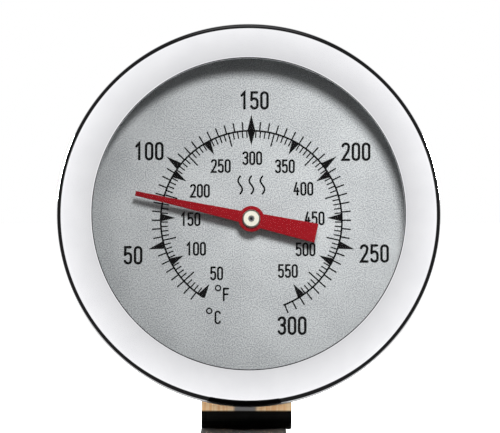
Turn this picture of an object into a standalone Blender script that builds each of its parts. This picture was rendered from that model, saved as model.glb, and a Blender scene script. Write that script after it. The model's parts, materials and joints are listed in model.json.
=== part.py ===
"""Bimetal oven thermometer on a bent sheet stand.

The head (case, glass, dial, movement, pointer) is modelled in its own frame: X to the right, Y up across the
dial, Z out towards the reader, with Z = 0 on the dial's printed face. An empty leans that frame back on the
stand. The stand is modelled in world coordinates, resting on Z = 0.
"""

import math

import bmesh
import bpy
from mathutils import Matrix, Vector

mm = 0.001

# Driving dimensions
BEZEL_RADIUS = 32.5 * mm
OPENING_RADIUS = 26.4 * mm
LEAN = math.radians(6.0)
HEAD_HEIGHT = 36.8 * mm
HEAD_DEPTH = 3.6 * mm
STAND_WIDTH = 15.4 * mm
FOOT_FRONT = -15.0 * mm

# Gap left between pieces that touch
REST_GAP = 0.3 * mm
SHEET = 0.6 * mm

# Bezel, glass and dial, as heights above the dial's face
CROWN_TOP = 5.8 * mm
LIP_ROLL = 0.8 * mm
LIP_BOTTOM = 4.9 * mm
FACE_FALL = 0.45 * mm
FACE_TILT = math.radians(12.0)
SHOULDER = 1.2 * mm
SKIRT_BOTTOM = 0.5 * mm
CRIMP_RADIUS = 30.0 * mm
GLASS_RADIUS = 31.0 * mm
GLASS_TOP = 4.6 * mm
GLASS_THICK = 1.2 * mm
GASKET_THICK = 0.8 * mm
DIAL_RADIUS = 28.1 * mm
DIAL_THICK = 0.5 * mm

# Rear case
FLANGE_RADIUS = 31.4 * mm
FLANGE_BACK = 1.4 * mm
CASE_RADIUS = 29.1 * mm
CASE_STEP = -1.4 * mm
CASE_REAR_RADIUS = 27.6 * mm
CASE_BACK = -8.8 * mm
CASE_CORNER = 2.0 * mm
VENT_RADIUS = 2.6 * mm
VENT_CIRCLE = 20.5 * mm
VENT_REACH = 2.9 * mm
VENT_ANGLES = (40, 90, 140, 210, 330)

# Movement, on an axis set a little right of and below the case's own
MOVEMENT_X = 0.45 * mm
MOVEMENT_Y = -0.62 * mm
SPINDLE_RADIUS = 0.75 * mm
SPINDLE_REAR = -8.4 * mm
JOURNAL_RADIUS = 0.4 * mm
JOURNAL_FRONT = 2.8 * mm
BORE_RADIUS = 0.8 * mm
BRIDGE_THICK = 0.8 * mm
BRIDGE_WIDTH = 9.0 * mm
BRIDGE_TOP = -2.0 * mm
BRIDGE_FOOT = -7.5 * mm
BRIDGE_LEG = 13.5 * mm
BRIDGE_END = 18.5 * mm
BRIDGE_SCREW_X = 16.2 * mm
COIL_FRONT = -3.7 * mm
COIL_WIDTH = 2.9 * mm
COIL_THICK = 0.3 * mm
COIL_INNER = 2.55 * mm
COIL_OUTER = 9.6 * mm
COIL_TURNS = 5.5
COLLET_RADIUS = 2.0 * mm
COLLET_FRONT = -3.55 * mm
COLLET_REAR = -6.75 * mm

# Pointer, which rests at 77 degrees on the Celsius scale
POINTER_ANGLE = math.radians(77.6)
POINTER_BACK = 2.1 * mm
POINTER_THICK = 0.4 * mm
POINTER_LENGTH = 20.15 * mm
POINTER_COLLAR = 2.2 * mm
POINTER_TAIL = 11.3 * mm
HUB_RADIUS = 1.55 * mm
HUB_FRONT = 3.1 * mm
HUB_NECK = 0.95 * mm

# Stand, set a little left of the case's middle
STAND_X = -0.37 * mm
STAND_THICK = 0.7 * mm
STAND_TOP_Y = -7.5 * mm
STAND_RIVET_Y = (-11.5 * mm, -20.0 * mm)
HEEL_BEND = 2.6 * mm
FOOT_STEP = 1.0 * mm
STEP_HEIGHT = 0.5 * mm

# Facets round a full turn
LARGE_ROUND = 48
SMALL_ROUND = 20


def clear_scene():
    for obj in list(bpy.data.objects):
        bpy.data.objects.remove(obj)


def make_collection(name):
    collection = bpy.data.collections.new(name)
    bpy.context.scene.collection.children.link(collection)
    return collection


def make_material(name, colour, roughness, metallic):
    material = bpy.data.materials.new(name)
    material.use_nodes = True
    shader = material.node_tree.nodes["Principled BSDF"]
    shader.inputs["Base Color"].default_value = (*colour, 1.0)
    shader.inputs["Roughness"].default_value = roughness
    shader.inputs["Metallic"].default_value = metallic
    return material


def make_empty(name, parent=None, location=(0, 0, 0), rotation=(0, 0, 0)):
    empty = bpy.data.objects.new(name, None)
    thermometer.objects.link(empty)
    empty.parent = parent
    empty.location = location
    empty.rotation_euler = rotation
    return empty


def add_part(name, data, material, parent=None):
    part = bpy.data.objects.new(name, data)
    part.data.materials.append(material)
    thermometer.objects.link(part)
    part.parent = parent
    return part


def add_cutter(name, mesh, parent=None):
    cutter = bpy.data.objects.new(name, mesh)
    cutters.objects.link(cutter)
    cutter.parent = parent
    cutter.hide_render = True
    cutter.display_type = "WIRE"
    return cutter


def cut(part, cutter):
    boolean = part.modifiers.new(cutter.name, "BOOLEAN")
    boolean.operation = "DIFFERENCE"
    boolean.object = cutter


def arc(centre, radius, start, end, steps):
    """Points on an arc, with angles in degrees counted anticlockwise from the first axis."""
    points = []
    for i in range(steps + 1):
        angle = math.radians(start + (end - start) * i / steps)
        points.append((centre[0] + radius * math.cos(angle), centre[1] + radius * math.sin(angle)))
    return points


def rounded_path(corners, steps=4):
    """A path through corners (a, b, radius) whose inner corners are rounded by arcs of that radius."""
    points = [Vector(corners[0][:2])]
    for before, corner, after in zip(corners, corners[1:], corners[2:]):
        here = Vector(corner[:2])
        back = (Vector(before[:2]) - here).normalized()
        ahead = (Vector(after[:2]) - here).normalized()
        half = back.angle(ahead) / 2
        reach = corner[2] / math.tan(half)
        centre = here + (back + ahead).normalized() * corner[2] / math.sin(half)
        first = here + back * reach - centre
        last = here + ahead * reach - centre
        turn = first.angle_signed(last)
        for i in range(steps + 1):
            angle = -turn * i / steps
            spun = Vector((
                first.x * math.cos(angle) - first.y * math.sin(angle),
                first.x * math.sin(angle) + first.y * math.cos(angle),
            ))
            points.append(centre + spun)
    points.append(Vector(corners[-1][:2]))
    return points


def line_mesh(name, points, closed):
    """A profile in the XZ plane, as edges only."""
    count = len(points)
    edges = [(i, i + 1) for i in range(count - 1)]
    if closed:
        edges.append((count - 1, 0))
    mesh = bpy.data.meshes.new(name)
    mesh.from_pydata([(r, 0, z) for r, z in points], edges, [])
    return mesh


def turned(name, profile, material, parent, closed=False, segments=LARGE_ROUND):
    """A turned piece: the profile (radius, height) runs down its outer side and is spun round Z."""
    part = add_part(name, line_mesh(name, profile, closed), material, parent)
    screw = part.modifiers.new("Turn", "SCREW")
    screw.steps = segments
    screw.render_steps = segments
    screw.use_merge_vertices = True
    screw.merge_threshold = 0.00001
    screw.use_smooth_shade = True
    return part


def thicken(part, thickness, offset=-1.0):
    solidify = part.modifiers.new("Sheet", "SOLIDIFY")
    solidify.thickness = thickness
    solidify.offset = offset
    solidify.use_even_offset = True


def ribbon_mesh(name, path, width, place):
    """An open ribbon of sheet: the flat path is swept over the width, and place turns (a, b, w) into X, Y, Z."""
    mesh = bpy.data.meshes.new(name)
    shape = bmesh.new()
    rows = []
    for a, b in path:
        rows.append([shape.verts.new(place(a, b, side * width / 2)) for side in (-1, 1)])
    for (low, high), (next_low, next_high) in zip(rows, rows[1:]):
        shape.faces.new((low, high, next_high, next_low))
    shape.to_mesh(mesh)
    shape.free()
    return mesh


def cylinder_mesh(name, places, radius, depth, segments=SMALL_ROUND):
    """Upright cylinders of one size, centred on each of the places."""
    mesh = bpy.data.meshes.new(name)
    shape = bmesh.new()
    for place in places:
        made = bmesh.ops.create_cone(
            shape, cap_ends=True, segments=segments, radius1=radius, radius2=radius, depth=depth
        )
        bmesh.ops.translate(shape, verts=made["verts"], vec=place)
    shape.to_mesh(mesh)
    shape.free()
    return mesh


def box_mesh(name, low, high):
    mesh = bpy.data.meshes.new(name)
    shape = bmesh.new()
    made = bmesh.ops.create_cube(shape, size=1.0)
    size = [h - l for l, h in zip(low, high)]
    bmesh.ops.scale(shape, verts=made["verts"], vec=size)
    bmesh.ops.translate(shape, verts=made["verts"], vec=[(l + h) / 2 for l, h in zip(low, high)])
    shape.to_mesh(mesh)
    shape.free()
    return mesh


def make_bezel():
    """Polished ring: a rolled lip, a face that falls away outwards, a skirt, and an edge crimped behind the case."""
    lip_centre = OPENING_RADIUS + LIP_ROLL
    face_end = BEZEL_RADIUS - SHOULDER * (1 - math.sin(FACE_TILT))
    shoulder_centre = CROWN_TOP - FACE_FALL - SHOULDER * math.cos(FACE_TILT)
    profile = [(OPENING_RADIUS, LIP_BOTTOM)]
    profile += arc((lip_centre, CROWN_TOP - LIP_ROLL), LIP_ROLL, 180, 90, 4)
    face_steps = 4
    for i in range(1, face_steps):
        across = i / face_steps
        profile.append((lip_centre + (face_end - lip_centre) * across, CROWN_TOP - FACE_FALL * across ** 2))
    profile += arc((BEZEL_RADIUS - SHOULDER, shoulder_centre), SHOULDER, 90 - math.degrees(FACE_TILT), 0, 5)
    profile += arc((BEZEL_RADIUS - SHEET, SKIRT_BOTTOM + SHEET), SHEET, 0, -90, 2)
    profile.append((CRIMP_RADIUS, SKIRT_BOTTOM))
    bezel = turned("bezel_ring", profile, polished_steel, head)
    thicken(bezel, SHEET)


def make_glass():
    """Flat toughened disc with its edges ground off."""
    chamfer = 0.3 * mm
    bottom = GLASS_TOP - GLASS_THICK
    profile = [
        (0, GLASS_TOP),
        (GLASS_RADIUS - chamfer, GLASS_TOP),
        (GLASS_RADIUS, GLASS_TOP - chamfer),
        (GLASS_RADIUS, bottom + chamfer),
        (GLASS_RADIUS - chamfer, bottom),
        (0, bottom),
    ]
    turned("lens_glass", profile, glass, head)


def make_rings():
    """The gasket under the glass, and the band that holds the dial down at the glass's distance."""
    top = GLASS_TOP - GLASS_THICK - REST_GAP
    gasket_inner = CASE_RADIUS - SHEET / 2
    gasket = [
        (GLASS_RADIUS, top),
        (GLASS_RADIUS, top - GASKET_THICK),
        (gasket_inner, top - GASKET_THICK),
        (gasket_inner, top),
    ]
    turned("glass_gasket", gasket, silicone, head, closed=True)
    band_thick = 0.7 * mm
    band = [
        (DIAL_RADIUS, top),
        (DIAL_RADIUS, REST_GAP),
        (DIAL_RADIUS - band_thick, REST_GAP),
        (DIAL_RADIUS - band_thick, top),
    ]
    turned("dial_spacer_ring", band, bare_aluminium, head, closed=True)


def make_dial():
    """Printed aluminium disc with a hole for the spindle."""
    profile = [(0, 0), (DIAL_RADIUS, 0), (DIAL_RADIUS, -DIAL_THICK), (0, -DIAL_THICK)]
    dial = turned("dial_plate", profile, dial_aluminium, head)
    hole_radius = 2.0 * mm
    hole = cylinder_mesh("dial_hole", [(MOVEMENT_X, MOVEMENT_Y, 0)], hole_radius, 3 * mm)
    cut(dial, add_cutter("dial_hole", hole, head))


def vent_mesh(name, low, depth):
    """Round-ended slots set round the case's back, each lying across its radius."""
    mesh = bpy.data.meshes.new(name)
    shape = bmesh.new()
    for degrees in VENT_ANGLES:
        outline = arc((VENT_CIRCLE, VENT_REACH), VENT_RADIUS, 0, 180, 6)
        outline += arc((VENT_CIRCLE, -VENT_REACH), VENT_RADIUS, 180, 360, 6)
        spin = Matrix.Rotation(math.radians(degrees), 3, "Z")
        face = shape.faces.new([shape.verts.new(spin @ Vector((x, y, low))) for x, y in outline])
        raised = bmesh.ops.extrude_face_region(shape, geom=[face])
        corners = [corner for corner in raised["geom"] if isinstance(corner, bmesh.types.BMVert)]
        bmesh.ops.translate(shape, verts=corners, vec=(0, 0, depth))
    bmesh.ops.recalc_face_normals(shape, faces=shape.faces)
    shape.to_mesh(mesh)
    shape.free()
    return mesh


def make_case():
    """Deep-drawn cup: a flange under the gasket, a step that the dial sits on, and a vented back."""
    fillet = 0.5 * mm
    profile = [(FLANGE_RADIUS, FLANGE_BACK)]
    profile += arc((CASE_RADIUS + fillet, FLANGE_BACK - fillet), fillet, 90, 180, 2)
    profile.append((CASE_RADIUS, CASE_STEP))
    profile.append((CASE_REAR_RADIUS, CASE_STEP))
    corner = (CASE_REAR_RADIUS - CASE_CORNER, CASE_BACK + CASE_CORNER)
    profile += arc(corner, CASE_CORNER, 0, -90, 4)
    profile.append((0, CASE_BACK))
    case = turned("rear_case", profile, brushed_steel, head)
    thicken(case, SHEET)

    wall_through = 4 * mm
    cut(case, add_cutter("vent_slots", vent_mesh("vent_slots", CASE_BACK - wall_through / 2, wall_through), head))
    screws = [(MOVEMENT_X + side * BRIDGE_SCREW_X, MOVEMENT_Y, CASE_BACK) for side in (-1, 1)]
    screw_cutter = cylinder_mesh("case_screw_holes", screws, 1.1 * mm, wall_through)
    cut(case, add_cutter("case_screw_holes", screw_cutter, head))
    bush = cylinder_mesh("case_bush_hole", [(MOVEMENT_X, MOVEMENT_Y, CASE_BACK)], 1.8 * mm, wall_through)
    cut(case, add_cutter("case_bush_hole", bush, head))
    rivets = [(STAND_X, y, CASE_BACK) for y in STAND_RIVET_Y]
    rivet_cutter = cylinder_mesh("rivet_holes", rivets, 1.25 * mm, wall_through)
    cut(case, add_cutter("rivet_holes", rivet_cutter, head))


def make_bridge():
    """Hat-shaped bridge that carries the front bush and the coil's anchor over the case's back."""
    bend = 1.0 * mm
    corners = [
        (-BRIDGE_END, BRIDGE_FOOT, 0),
        (-BRIDGE_LEG, BRIDGE_FOOT, bend),
        (-BRIDGE_LEG, BRIDGE_TOP, bend),
        (BRIDGE_LEG, BRIDGE_TOP, bend),
        (BRIDGE_LEG, BRIDGE_FOOT, bend),
        (BRIDGE_END, BRIDGE_FOOT, 0),
    ]
    path = rounded_path(corners, 3)
    mesh = ribbon_mesh("movement_bridge", path, BRIDGE_WIDTH, lambda a, b, w: (a, w, b))
    bridge = add_part("movement_bridge", mesh, zinc_steel, movement)
    thicken(bridge, BRIDGE_THICK, 0.0)
    plate_through = 4 * mm
    bush = cylinder_mesh("bridge_bush_hole", [(0, 0, BRIDGE_TOP)], 1.8 * mm, plate_through)
    cut(bridge, add_cutter("bridge_bush_hole", bush, movement))
    anchor = cylinder_mesh("bridge_anchor_hole", [(COIL_OUTER, 0, BRIDGE_TOP)], 0.8 * mm, 2 * mm)
    cut(bridge, add_cutter("bridge_anchor_hole", anchor, movement))
    feet = [(side * BRIDGE_SCREW_X, 0, BRIDGE_FOOT) for side in (-1, 1)]
    feet_cutter = cylinder_mesh("bridge_screw_holes", feet, 1.0 * mm, 2 * mm)
    cut(bridge, add_cutter("bridge_screw_holes", feet_cutter, movement))


def make_bushes():
    """Flanged brass bushes: one through the bridge, and a blind one in the case's back."""
    body = 1.7 * mm
    front_flange = 2.4 * mm
    front = [
        (body, -0.9 * mm),
        (body, -2.5 * mm),
        (front_flange, -2.5 * mm),
        (front_flange, -2.85 * mm),
        (BORE_RADIUS, -2.85 * mm),
        (BORE_RADIUS, -0.9 * mm),
    ]
    turned("front_bush", front, brass, movement, closed=True, segments=SMALL_ROUND)
    rear_flange = 2.6 * mm
    rear_top = -7.2 * mm
    rear = [
        (BORE_RADIUS, rear_top),
        (rear_flange, rear_top),
        (rear_flange, -7.9 * mm),
        (body, -7.9 * mm),
        (body, -9.2 * mm),
        (0, -9.2 * mm),
        (0, -8.6 * mm),
        (BORE_RADIUS, -8.6 * mm),
    ]
    turned("rear_bush", rear, brass, movement, closed=True, segments=SMALL_ROUND)


def make_spindle():
    """Steel spindle with a thin front journal, its thrust collar, and the collet that grips the coil."""
    shoulder = 0.5 * mm
    profile = [
        (0, JOURNAL_FRONT),
        (JOURNAL_RADIUS, JOURNAL_FRONT),
        (JOURNAL_RADIUS, shoulder),
        (SPINDLE_RADIUS, shoulder),
        (SPINDLE_RADIUS, SPINDLE_REAR),
        (0, SPINDLE_REAR),
    ]
    turned("spindle", profile, ground_steel, pointer_axis, segments=SMALL_ROUND)
    collar = [
        (1.5 * mm, -2.95 * mm),
        (1.5 * mm, -3.45 * mm),
        (BORE_RADIUS, -3.45 * mm),
        (BORE_RADIUS, -2.95 * mm),
    ]
    turned("spindle_collar", collar, brass, pointer_axis, closed=True, segments=SMALL_ROUND)


def make_collet():
    """Brass collet on the spindle. A slot holds the coil's inner end."""
    profile = [
        (COLLET_RADIUS, COLLET_FRONT),
        (COLLET_RADIUS, COLLET_REAR),
        (BORE_RADIUS, COLLET_REAR),
        (BORE_RADIUS, COLLET_FRONT),
    ]
    collet = turned("coil_collet", profile, brass, pointer_axis, closed=True, segments=SMALL_ROUND)
    half_slot = 0.4 * mm
    low = (-COLLET_RADIUS - 1 * mm, -half_slot, COLLET_REAR - 1 * mm)
    high = (-1.1 * mm, half_slot, COLLET_FRONT + 1 * mm)
    cut(collet, add_cutter("collet_slot", box_mesh("collet_slot", low, high), movement))


def coil_path():
    """The bimetal spiral seen from the front, from its tab in the collet out to the anchor post."""
    inner_tab = 1.25 * mm
    path = [(-inner_tab, 0), (-COLLET_RADIUS, 0)]
    steps_per_turn = 24
    steps = round(COIL_TURNS * steps_per_turn)
    for i in range(1, steps + 1):
        along = i / steps
        angle = math.pi + 2 * math.pi * COIL_TURNS * along
        radius = COIL_INNER + (COIL_OUTER - COIL_INNER) * along
        path.append((radius * math.cos(angle), radius * math.sin(angle)))
    outer_tab = 1.6 * mm
    path.append((COIL_OUTER, outer_tab))
    return path


def make_coil():
    """Bimetal strip wound on edge, and the slit post that holds its outer end."""
    middle = COIL_FRONT - COIL_WIDTH / 2
    mesh = ribbon_mesh("bimetal_coil", coil_path(), COIL_WIDTH, lambda a, b, w: (a, b, middle + w))
    coil = add_part("bimetal_coil", mesh, bimetal, movement)
    thicken(coil, COIL_THICK, 0.0)

    shank = 0.7 * mm
    body = 1.0 * mm
    body_top = BRIDGE_TOP - BRIDGE_THICK / 2 - 0.1 * mm
    profile = [
        (0, BRIDGE_TOP + 0.7 * mm),
        (shank, BRIDGE_TOP + 0.7 * mm),
        (shank, body_top),
        (body, body_top),
        (body, COLLET_REAR),
        (0, COLLET_REAR),
    ]
    post = turned("coil_anchor_post", profile, brass, movement, segments=SMALL_ROUND)
    post.location.x = COIL_OUTER
    half_slit = 0.3 * mm
    low = (COIL_OUTER - half_slit, -2 * mm, COLLET_REAR - 1 * mm)
    high = (COIL_OUTER + half_slit, 2 * mm, COIL_FRONT + 0.2 * mm)
    cut(post, add_cutter("post_slit", box_mesh("post_slit", low, high), movement))


def pointer_outline():
    """Outline of the pointer, pointing along +Y: a slim needle, a round collar and a broad tail."""
    tip_half = 0.4 * mm
    waist_y = 13.4 * mm
    waist_half = 0.54 * mm
    root_half = 0.98 * mm
    tail_root_half = 1.25 * mm
    tail_end_half = 1.65 * mm
    needle_meets = math.degrees(math.acos(root_half / POINTER_COLLAR))
    tail_meets = math.degrees(math.acos(tail_root_half / POINTER_COLLAR))
    right = [(tip_half, POINTER_LENGTH), (waist_half, waist_y)]
    right += arc((0, 0), POINTER_COLLAR, needle_meets, -tail_meets, 8)
    right.append((tail_end_half, -POINTER_TAIL))
    left = [(-x, y) for x, y in reversed(right)]
    return right + left


def add_outline(curve, points):
    spline = curve.splines.new("POLY")
    spline.points.add(len(points) - 1)
    for place, (x, y) in zip(spline.points, points):
        place.co = (x, y, 0, 1)
    spline.use_cyclic_u = True


def make_pointer():
    """Stamped pointer with its hub, a spool whose front flange shows as a bright button."""
    curve = bpy.data.curves.new("pointer", "CURVE")
    curve.dimensions = "2D"
    curve.fill_mode = "BOTH"
    curve.extrude = POINTER_THICK / 2
    add_outline(curve, pointer_outline())
    clearance = 0.1 * mm
    add_outline(curve, arc((0, 0), HUB_NECK + clearance, 0, 360 - 360 / SMALL_ROUND, SMALL_ROUND - 1))
    pointer = add_part("pointer", curve, red_paint, pointer_axis)
    pointer.location.z = POINTER_BACK + POINTER_THICK / 2

    hub_bore = 0.5 * mm
    collar_top = POINTER_BACK + POINTER_THICK + clearance
    collar_bottom = POINTER_BACK - clearance
    edge = 0.15 * mm
    rear = 0.6 * mm
    profile = [
        (HUB_RADIUS - edge, HUB_FRONT),
        (HUB_RADIUS, HUB_FRONT - edge),
        (HUB_RADIUS, collar_top),
        (HUB_NECK, collar_top),
        (HUB_NECK, collar_bottom),
        (HUB_RADIUS, collar_bottom),
        (HUB_RADIUS, rear),
        (hub_bore, rear),
        (hub_bore, HUB_FRONT),
    ]
    turned("pointer_hub", profile, hub_aluminium, pointer_axis, closed=True, segments=SMALL_ROUND)


def make_bridge_screws():
    """Slotted pan-head screws from behind the case into the bridge's feet."""
    shank = 0.9 * mm
    head_radius = 1.9 * mm
    under_head = CASE_BACK - REST_GAP
    head_end = under_head - 1.2 * mm
    half_slot = 0.25 * mm
    slot_depth = 0.5 * mm
    for label, side in (("left", -1), ("right", 1)):
        profile = [
            (0, -6.4 * mm),
            (shank, -6.4 * mm),
            (shank, under_head),
            (head_radius, under_head),
            (head_radius, under_head - 0.5 * mm),
            (head_radius - 0.35 * mm, head_end + 0.2 * mm),
            (head_radius - 0.9 * mm, head_end),
            (0, head_end),
        ]
        x = side * BRIDGE_SCREW_X
        screw = turned(f"bridge_screw_{label}", profile, zinc_steel, movement, segments=16)
        screw.location.x = x
        low = (x - 3 * mm, -half_slot, head_end - 1 * mm)
        high = (x + 3 * mm, half_slot, head_end + slot_depth)
        slot_name = f"screw_slot_{label}"
        cut(screw, add_cutter(slot_name, box_mesh(slot_name, low, high), movement))


def make_stand_rivets():
    """Round-head rivets that hold the stand to the case's back."""
    shank = 1.1 * mm
    head_radius = 2.2 * mm
    head_rise = 1.0 * mm
    under_head = CASE_BACK - REST_GAP - STAND_THICK - 0.15 * mm
    inside = CASE_BACK + SHEET + REST_GAP
    for label, y in zip(("upper", "lower"), STAND_RIVET_Y):
        profile = [
            (0, inside + 0.5 * mm),
            (1.4 * mm, inside + 0.5 * mm),
            (1.8 * mm, inside + 0.2 * mm),
            (1.8 * mm, inside),
            (shank, inside),
            (shank, under_head),
        ]
        dome_steps = 4
        for i in range(dome_steps + 1):
            angle = math.pi / 2 * i / dome_steps
            profile.append((head_radius * math.cos(angle), under_head - head_rise * math.sin(angle)))
        profile[-1] = (0, under_head - head_rise)
        rivet = turned(f"stand_rivet_{label}", profile, brushed_steel, head, segments=16)
        rivet.location = (STAND_X, y, 0)


def head_to_world(y, z):
    """World Y and Z of a point in the head's middle plane."""
    world_y = HEAD_DEPTH + y * math.sin(LEAN) - z * math.cos(LEAN)
    world_z = HEAD_HEIGHT + y * math.cos(LEAN) + z * math.sin(LEAN)
    return world_y, world_z


def make_stand():
    """One strip of sheet: down along the leaning case's back, then bent forward on the floor as the foot."""
    behind = CASE_BACK - REST_GAP - STAND_THICK / 2
    on_floor = STAND_THICK / 2
    top = head_to_world(STAND_TOP_Y, behind)
    heel = top[0] - (top[1] - on_floor) * math.tan(LEAN)
    path = rounded_path([(*top, 0), (heel, on_floor, HEEL_BEND), (FOOT_FRONT, on_floor, 0)], 6)
    mesh = ribbon_mesh("stand_bracket", path, STAND_WIDTH, lambda a, b, w: (STAND_X + w, a, b))
    stand = add_part("stand_bracket", mesh, polished_steel)
    thicken(stand, STAND_THICK, 0.0)

    rivets = [(STAND_X, y, behind) for y in STAND_RIVET_Y]
    rivet_cutter = cylinder_mesh("stand_rivet_holes", rivets, 1.25 * mm, 3 * mm)
    cut(stand, add_cutter("stand_rivet_holes", rivet_cutter, head))
    step_x = STAND_X + STAND_WIDTH / 2 - FOOT_STEP
    outside = step_x + 2 * mm
    foot_cut = box_mesh("foot_step", (step_x, FOOT_FRONT - 1 * mm, -1 * mm), (outside, heel - HEEL_BEND / 2, 2 * mm))
    cut(stand, add_cutter("foot_step", foot_cut))
    heel_cut = box_mesh("heel_step", (step_x, 0, -2 * mm), (outside, heel + 2 * mm, STEP_HEIGHT))
    cut(stand, add_cutter("heel_step", heel_cut))


clear_scene()
thermometer = make_collection("oven_thermometer")
cutters = make_collection("cutters")

polished_steel = make_material("polished_steel", (0.80, 0.80, 0.82), 0.08, 1.0)
brushed_steel = make_material("brushed_steel", (0.62, 0.62, 0.63), 0.32, 1.0)
zinc_steel = make_material("zinc_steel", (0.66, 0.66, 0.64), 0.38, 1.0)
ground_steel = make_material("ground_steel", (0.58, 0.58, 0.60), 0.22, 1.0)
bimetal = make_material("bimetal", (0.55, 0.50, 0.44), 0.35, 1.0)
brass = make_material("brass", (0.72, 0.55, 0.25), 0.28, 1.0)
bare_aluminium = make_material("bare_aluminium", (0.70, 0.71, 0.72), 0.40, 1.0)
dial_aluminium = make_material("dial_aluminium", (0.48, 0.50, 0.50), 0.50, 0.6)
hub_aluminium = make_material("hub_aluminium", (0.76, 0.76, 0.70), 0.25, 1.0)
red_paint = make_material("red_paint", (0.42, 0.02, 0.03), 0.42, 0.0)
silicone = make_material("silicone", (0.35, 0.36, 0.36), 0.80, 0.0)
glass = make_material("glass", (0.95, 0.97, 0.97), 0.02, 0.0)

head = make_empty("head_frame", None, (0, HEAD_DEPTH, HEAD_HEIGHT), (math.pi / 2 - LEAN, 0, 0))
movement = make_empty("movement_axis", head, (MOVEMENT_X, MOVEMENT_Y, 0))
pointer_axis = make_empty("pointer_axis", movement, (0, 0, 0), (0, 0, POINTER_ANGLE))

make_bezel()
make_glass()
make_rings()
make_dial()
make_case()
make_bridge()
make_bushes()
make_spindle()
make_collet()
make_coil()
make_pointer()
make_bridge_screws()
make_stand_rivets()
make_stand()
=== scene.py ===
import json
import math

import bmesh
import bpy
from mathutils import Matrix, Vector


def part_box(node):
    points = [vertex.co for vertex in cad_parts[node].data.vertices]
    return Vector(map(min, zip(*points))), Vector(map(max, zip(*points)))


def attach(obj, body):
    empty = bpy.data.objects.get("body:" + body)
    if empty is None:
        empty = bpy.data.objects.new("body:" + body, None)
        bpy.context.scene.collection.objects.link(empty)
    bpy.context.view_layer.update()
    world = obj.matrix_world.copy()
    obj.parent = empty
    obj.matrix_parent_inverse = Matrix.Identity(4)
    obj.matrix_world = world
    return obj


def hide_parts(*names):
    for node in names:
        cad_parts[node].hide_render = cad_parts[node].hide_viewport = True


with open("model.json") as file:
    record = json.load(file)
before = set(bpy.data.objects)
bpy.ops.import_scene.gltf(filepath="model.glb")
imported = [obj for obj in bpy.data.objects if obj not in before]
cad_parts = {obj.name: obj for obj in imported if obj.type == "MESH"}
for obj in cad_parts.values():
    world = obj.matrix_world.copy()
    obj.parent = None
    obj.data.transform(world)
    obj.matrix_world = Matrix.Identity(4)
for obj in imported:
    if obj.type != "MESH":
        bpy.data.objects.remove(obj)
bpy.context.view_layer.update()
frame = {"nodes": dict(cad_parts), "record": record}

mm = 0.001
print("packed frame loaded")


# Sheet, glass and turned pieces are drawn in the head's own space: x right, y up the dial, z out of its face.
dialThick = 0.5
turnJoint = frame["record"]["behaviour"]["joints"][0]
inward = Vector(turnJoint["axis"])
lean = math.atan2(-inward.z, inward.y)


def middleOf(node):
    low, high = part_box(node)
    return (Vector(low) + Vector(high)) / 2


def halfWidthOf(node):  # in mm
    low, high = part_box(node)
    return (high[0] - low[0]) / 2 / mm


upright = Matrix.Rotation(math.pi / 2 - lean, 4, "X")
dialFace = Matrix.Translation((0, 0, dialThick / 2 * mm))
headSpace = Matrix.Translation(middleOf("dial_plate")) @ upright @ dialFace
spindlePlace = headSpace.inverted() @ Vector(turnJoint["pos_m"])
spindleSpace = headSpace @ Matrix.Translation(spindlePlace)


def pointerHeading():  # angle of the needle at rest, anticlockwise from the top of the dial
    toSpindle = spindleSpace.inverted()
    corners = [toSpindle @ vertex.co for vertex in frame["nodes"]["pointer"].data.vertices]
    reach = max(corner.xy.length for corner in corners)
    tip = sum((corner.xy for corner in corners if corner.xy.length > reach * 0.99), Vector((0, 0)))
    return math.atan2(-tip.x, tip.y)


pointerSpace = spindleSpace @ Matrix.Rotation(pointerHeading(), 4, "Z")


# Shared helpers.

def linear(hexColour):  # sRGB hex to the linear values that the shader wants
    channels = [int(hexColour[i:i + 2], 16) / 255 for i in (1, 3, 5)]
    return [c / 12.92 if c <= 0.04045 else ((c + 0.055) / 1.055) ** 2.4 for c in channels] + [1.0]


# a setting is a socket, by name or index, or the node's own option
def addNode(tree, kind, settings=None, links=None):
    node = tree.nodes.new(kind)
    for key, value in (settings or {}).items():
        if isinstance(key, str) and hasattr(node, key):
            setattr(node, key, value)
        else:
            node.inputs[key].default_value = value
    for key, source in (links or {}).items():
        tree.links.new(source, node.inputs[key])
    return node


def newSurface(name):
    surface = bpy.data.materials.new(name)
    surface.use_nodes = True
    tree = surface.node_tree
    tree.nodes.clear()
    shader = addNode(tree, "ShaderNodeBsdfPrincipled")
    addNode(tree, "ShaderNodeOutputMaterial", links={"Surface": shader.outputs[0]})
    return surface, tree, shader


def dressShader(tree, shader, colour, rough, bump):
    for socket, source in (("Base Color", colour), ("Roughness", rough), ("Normal", bump)):
        tree.links.new(source, shader.inputs[socket])


def headCoordinates(tree):  # object coordinates turned into the head's space
    coordinates = addNode(tree, "ShaderNodeTexCoord")
    back = headSpace.inverted()
    turned = addNode(tree, "ShaderNodeMapping", {"Location": back.translation, "Rotation": back.to_euler()},
                     {"Vector": coordinates.outputs["Object"]})
    return turned.outputs[0]


def offsetPath(path, distance):  # the path moved to its right-hand side, mitred at its corners
    points = [Vector(point) for point in path]
    moved = []
    for i, point in enumerate(points):
        ahead = points[i + 1] - point if i < len(points) - 1 else point - points[i - 1]
        behind = point - points[i - 1] if i > 0 else ahead
        first = Vector((behind.y, -behind.x)).normalized()
        second = Vector((ahead.y, -ahead.x)).normalized()
        middle = (first + second).normalized()
        moved.append(point + middle * distance / max(middle.dot(first), 0.5))
    return moved


def arcPoints(x, y, radius, start, end, steps):  # degrees, anticlockwise from the first axis
    turns = [math.radians(start + (end - start) * i / steps) for i in range(steps + 1)]
    return [(x + radius * math.cos(turn), y + radius * math.sin(turn)) for turn in turns]


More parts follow.
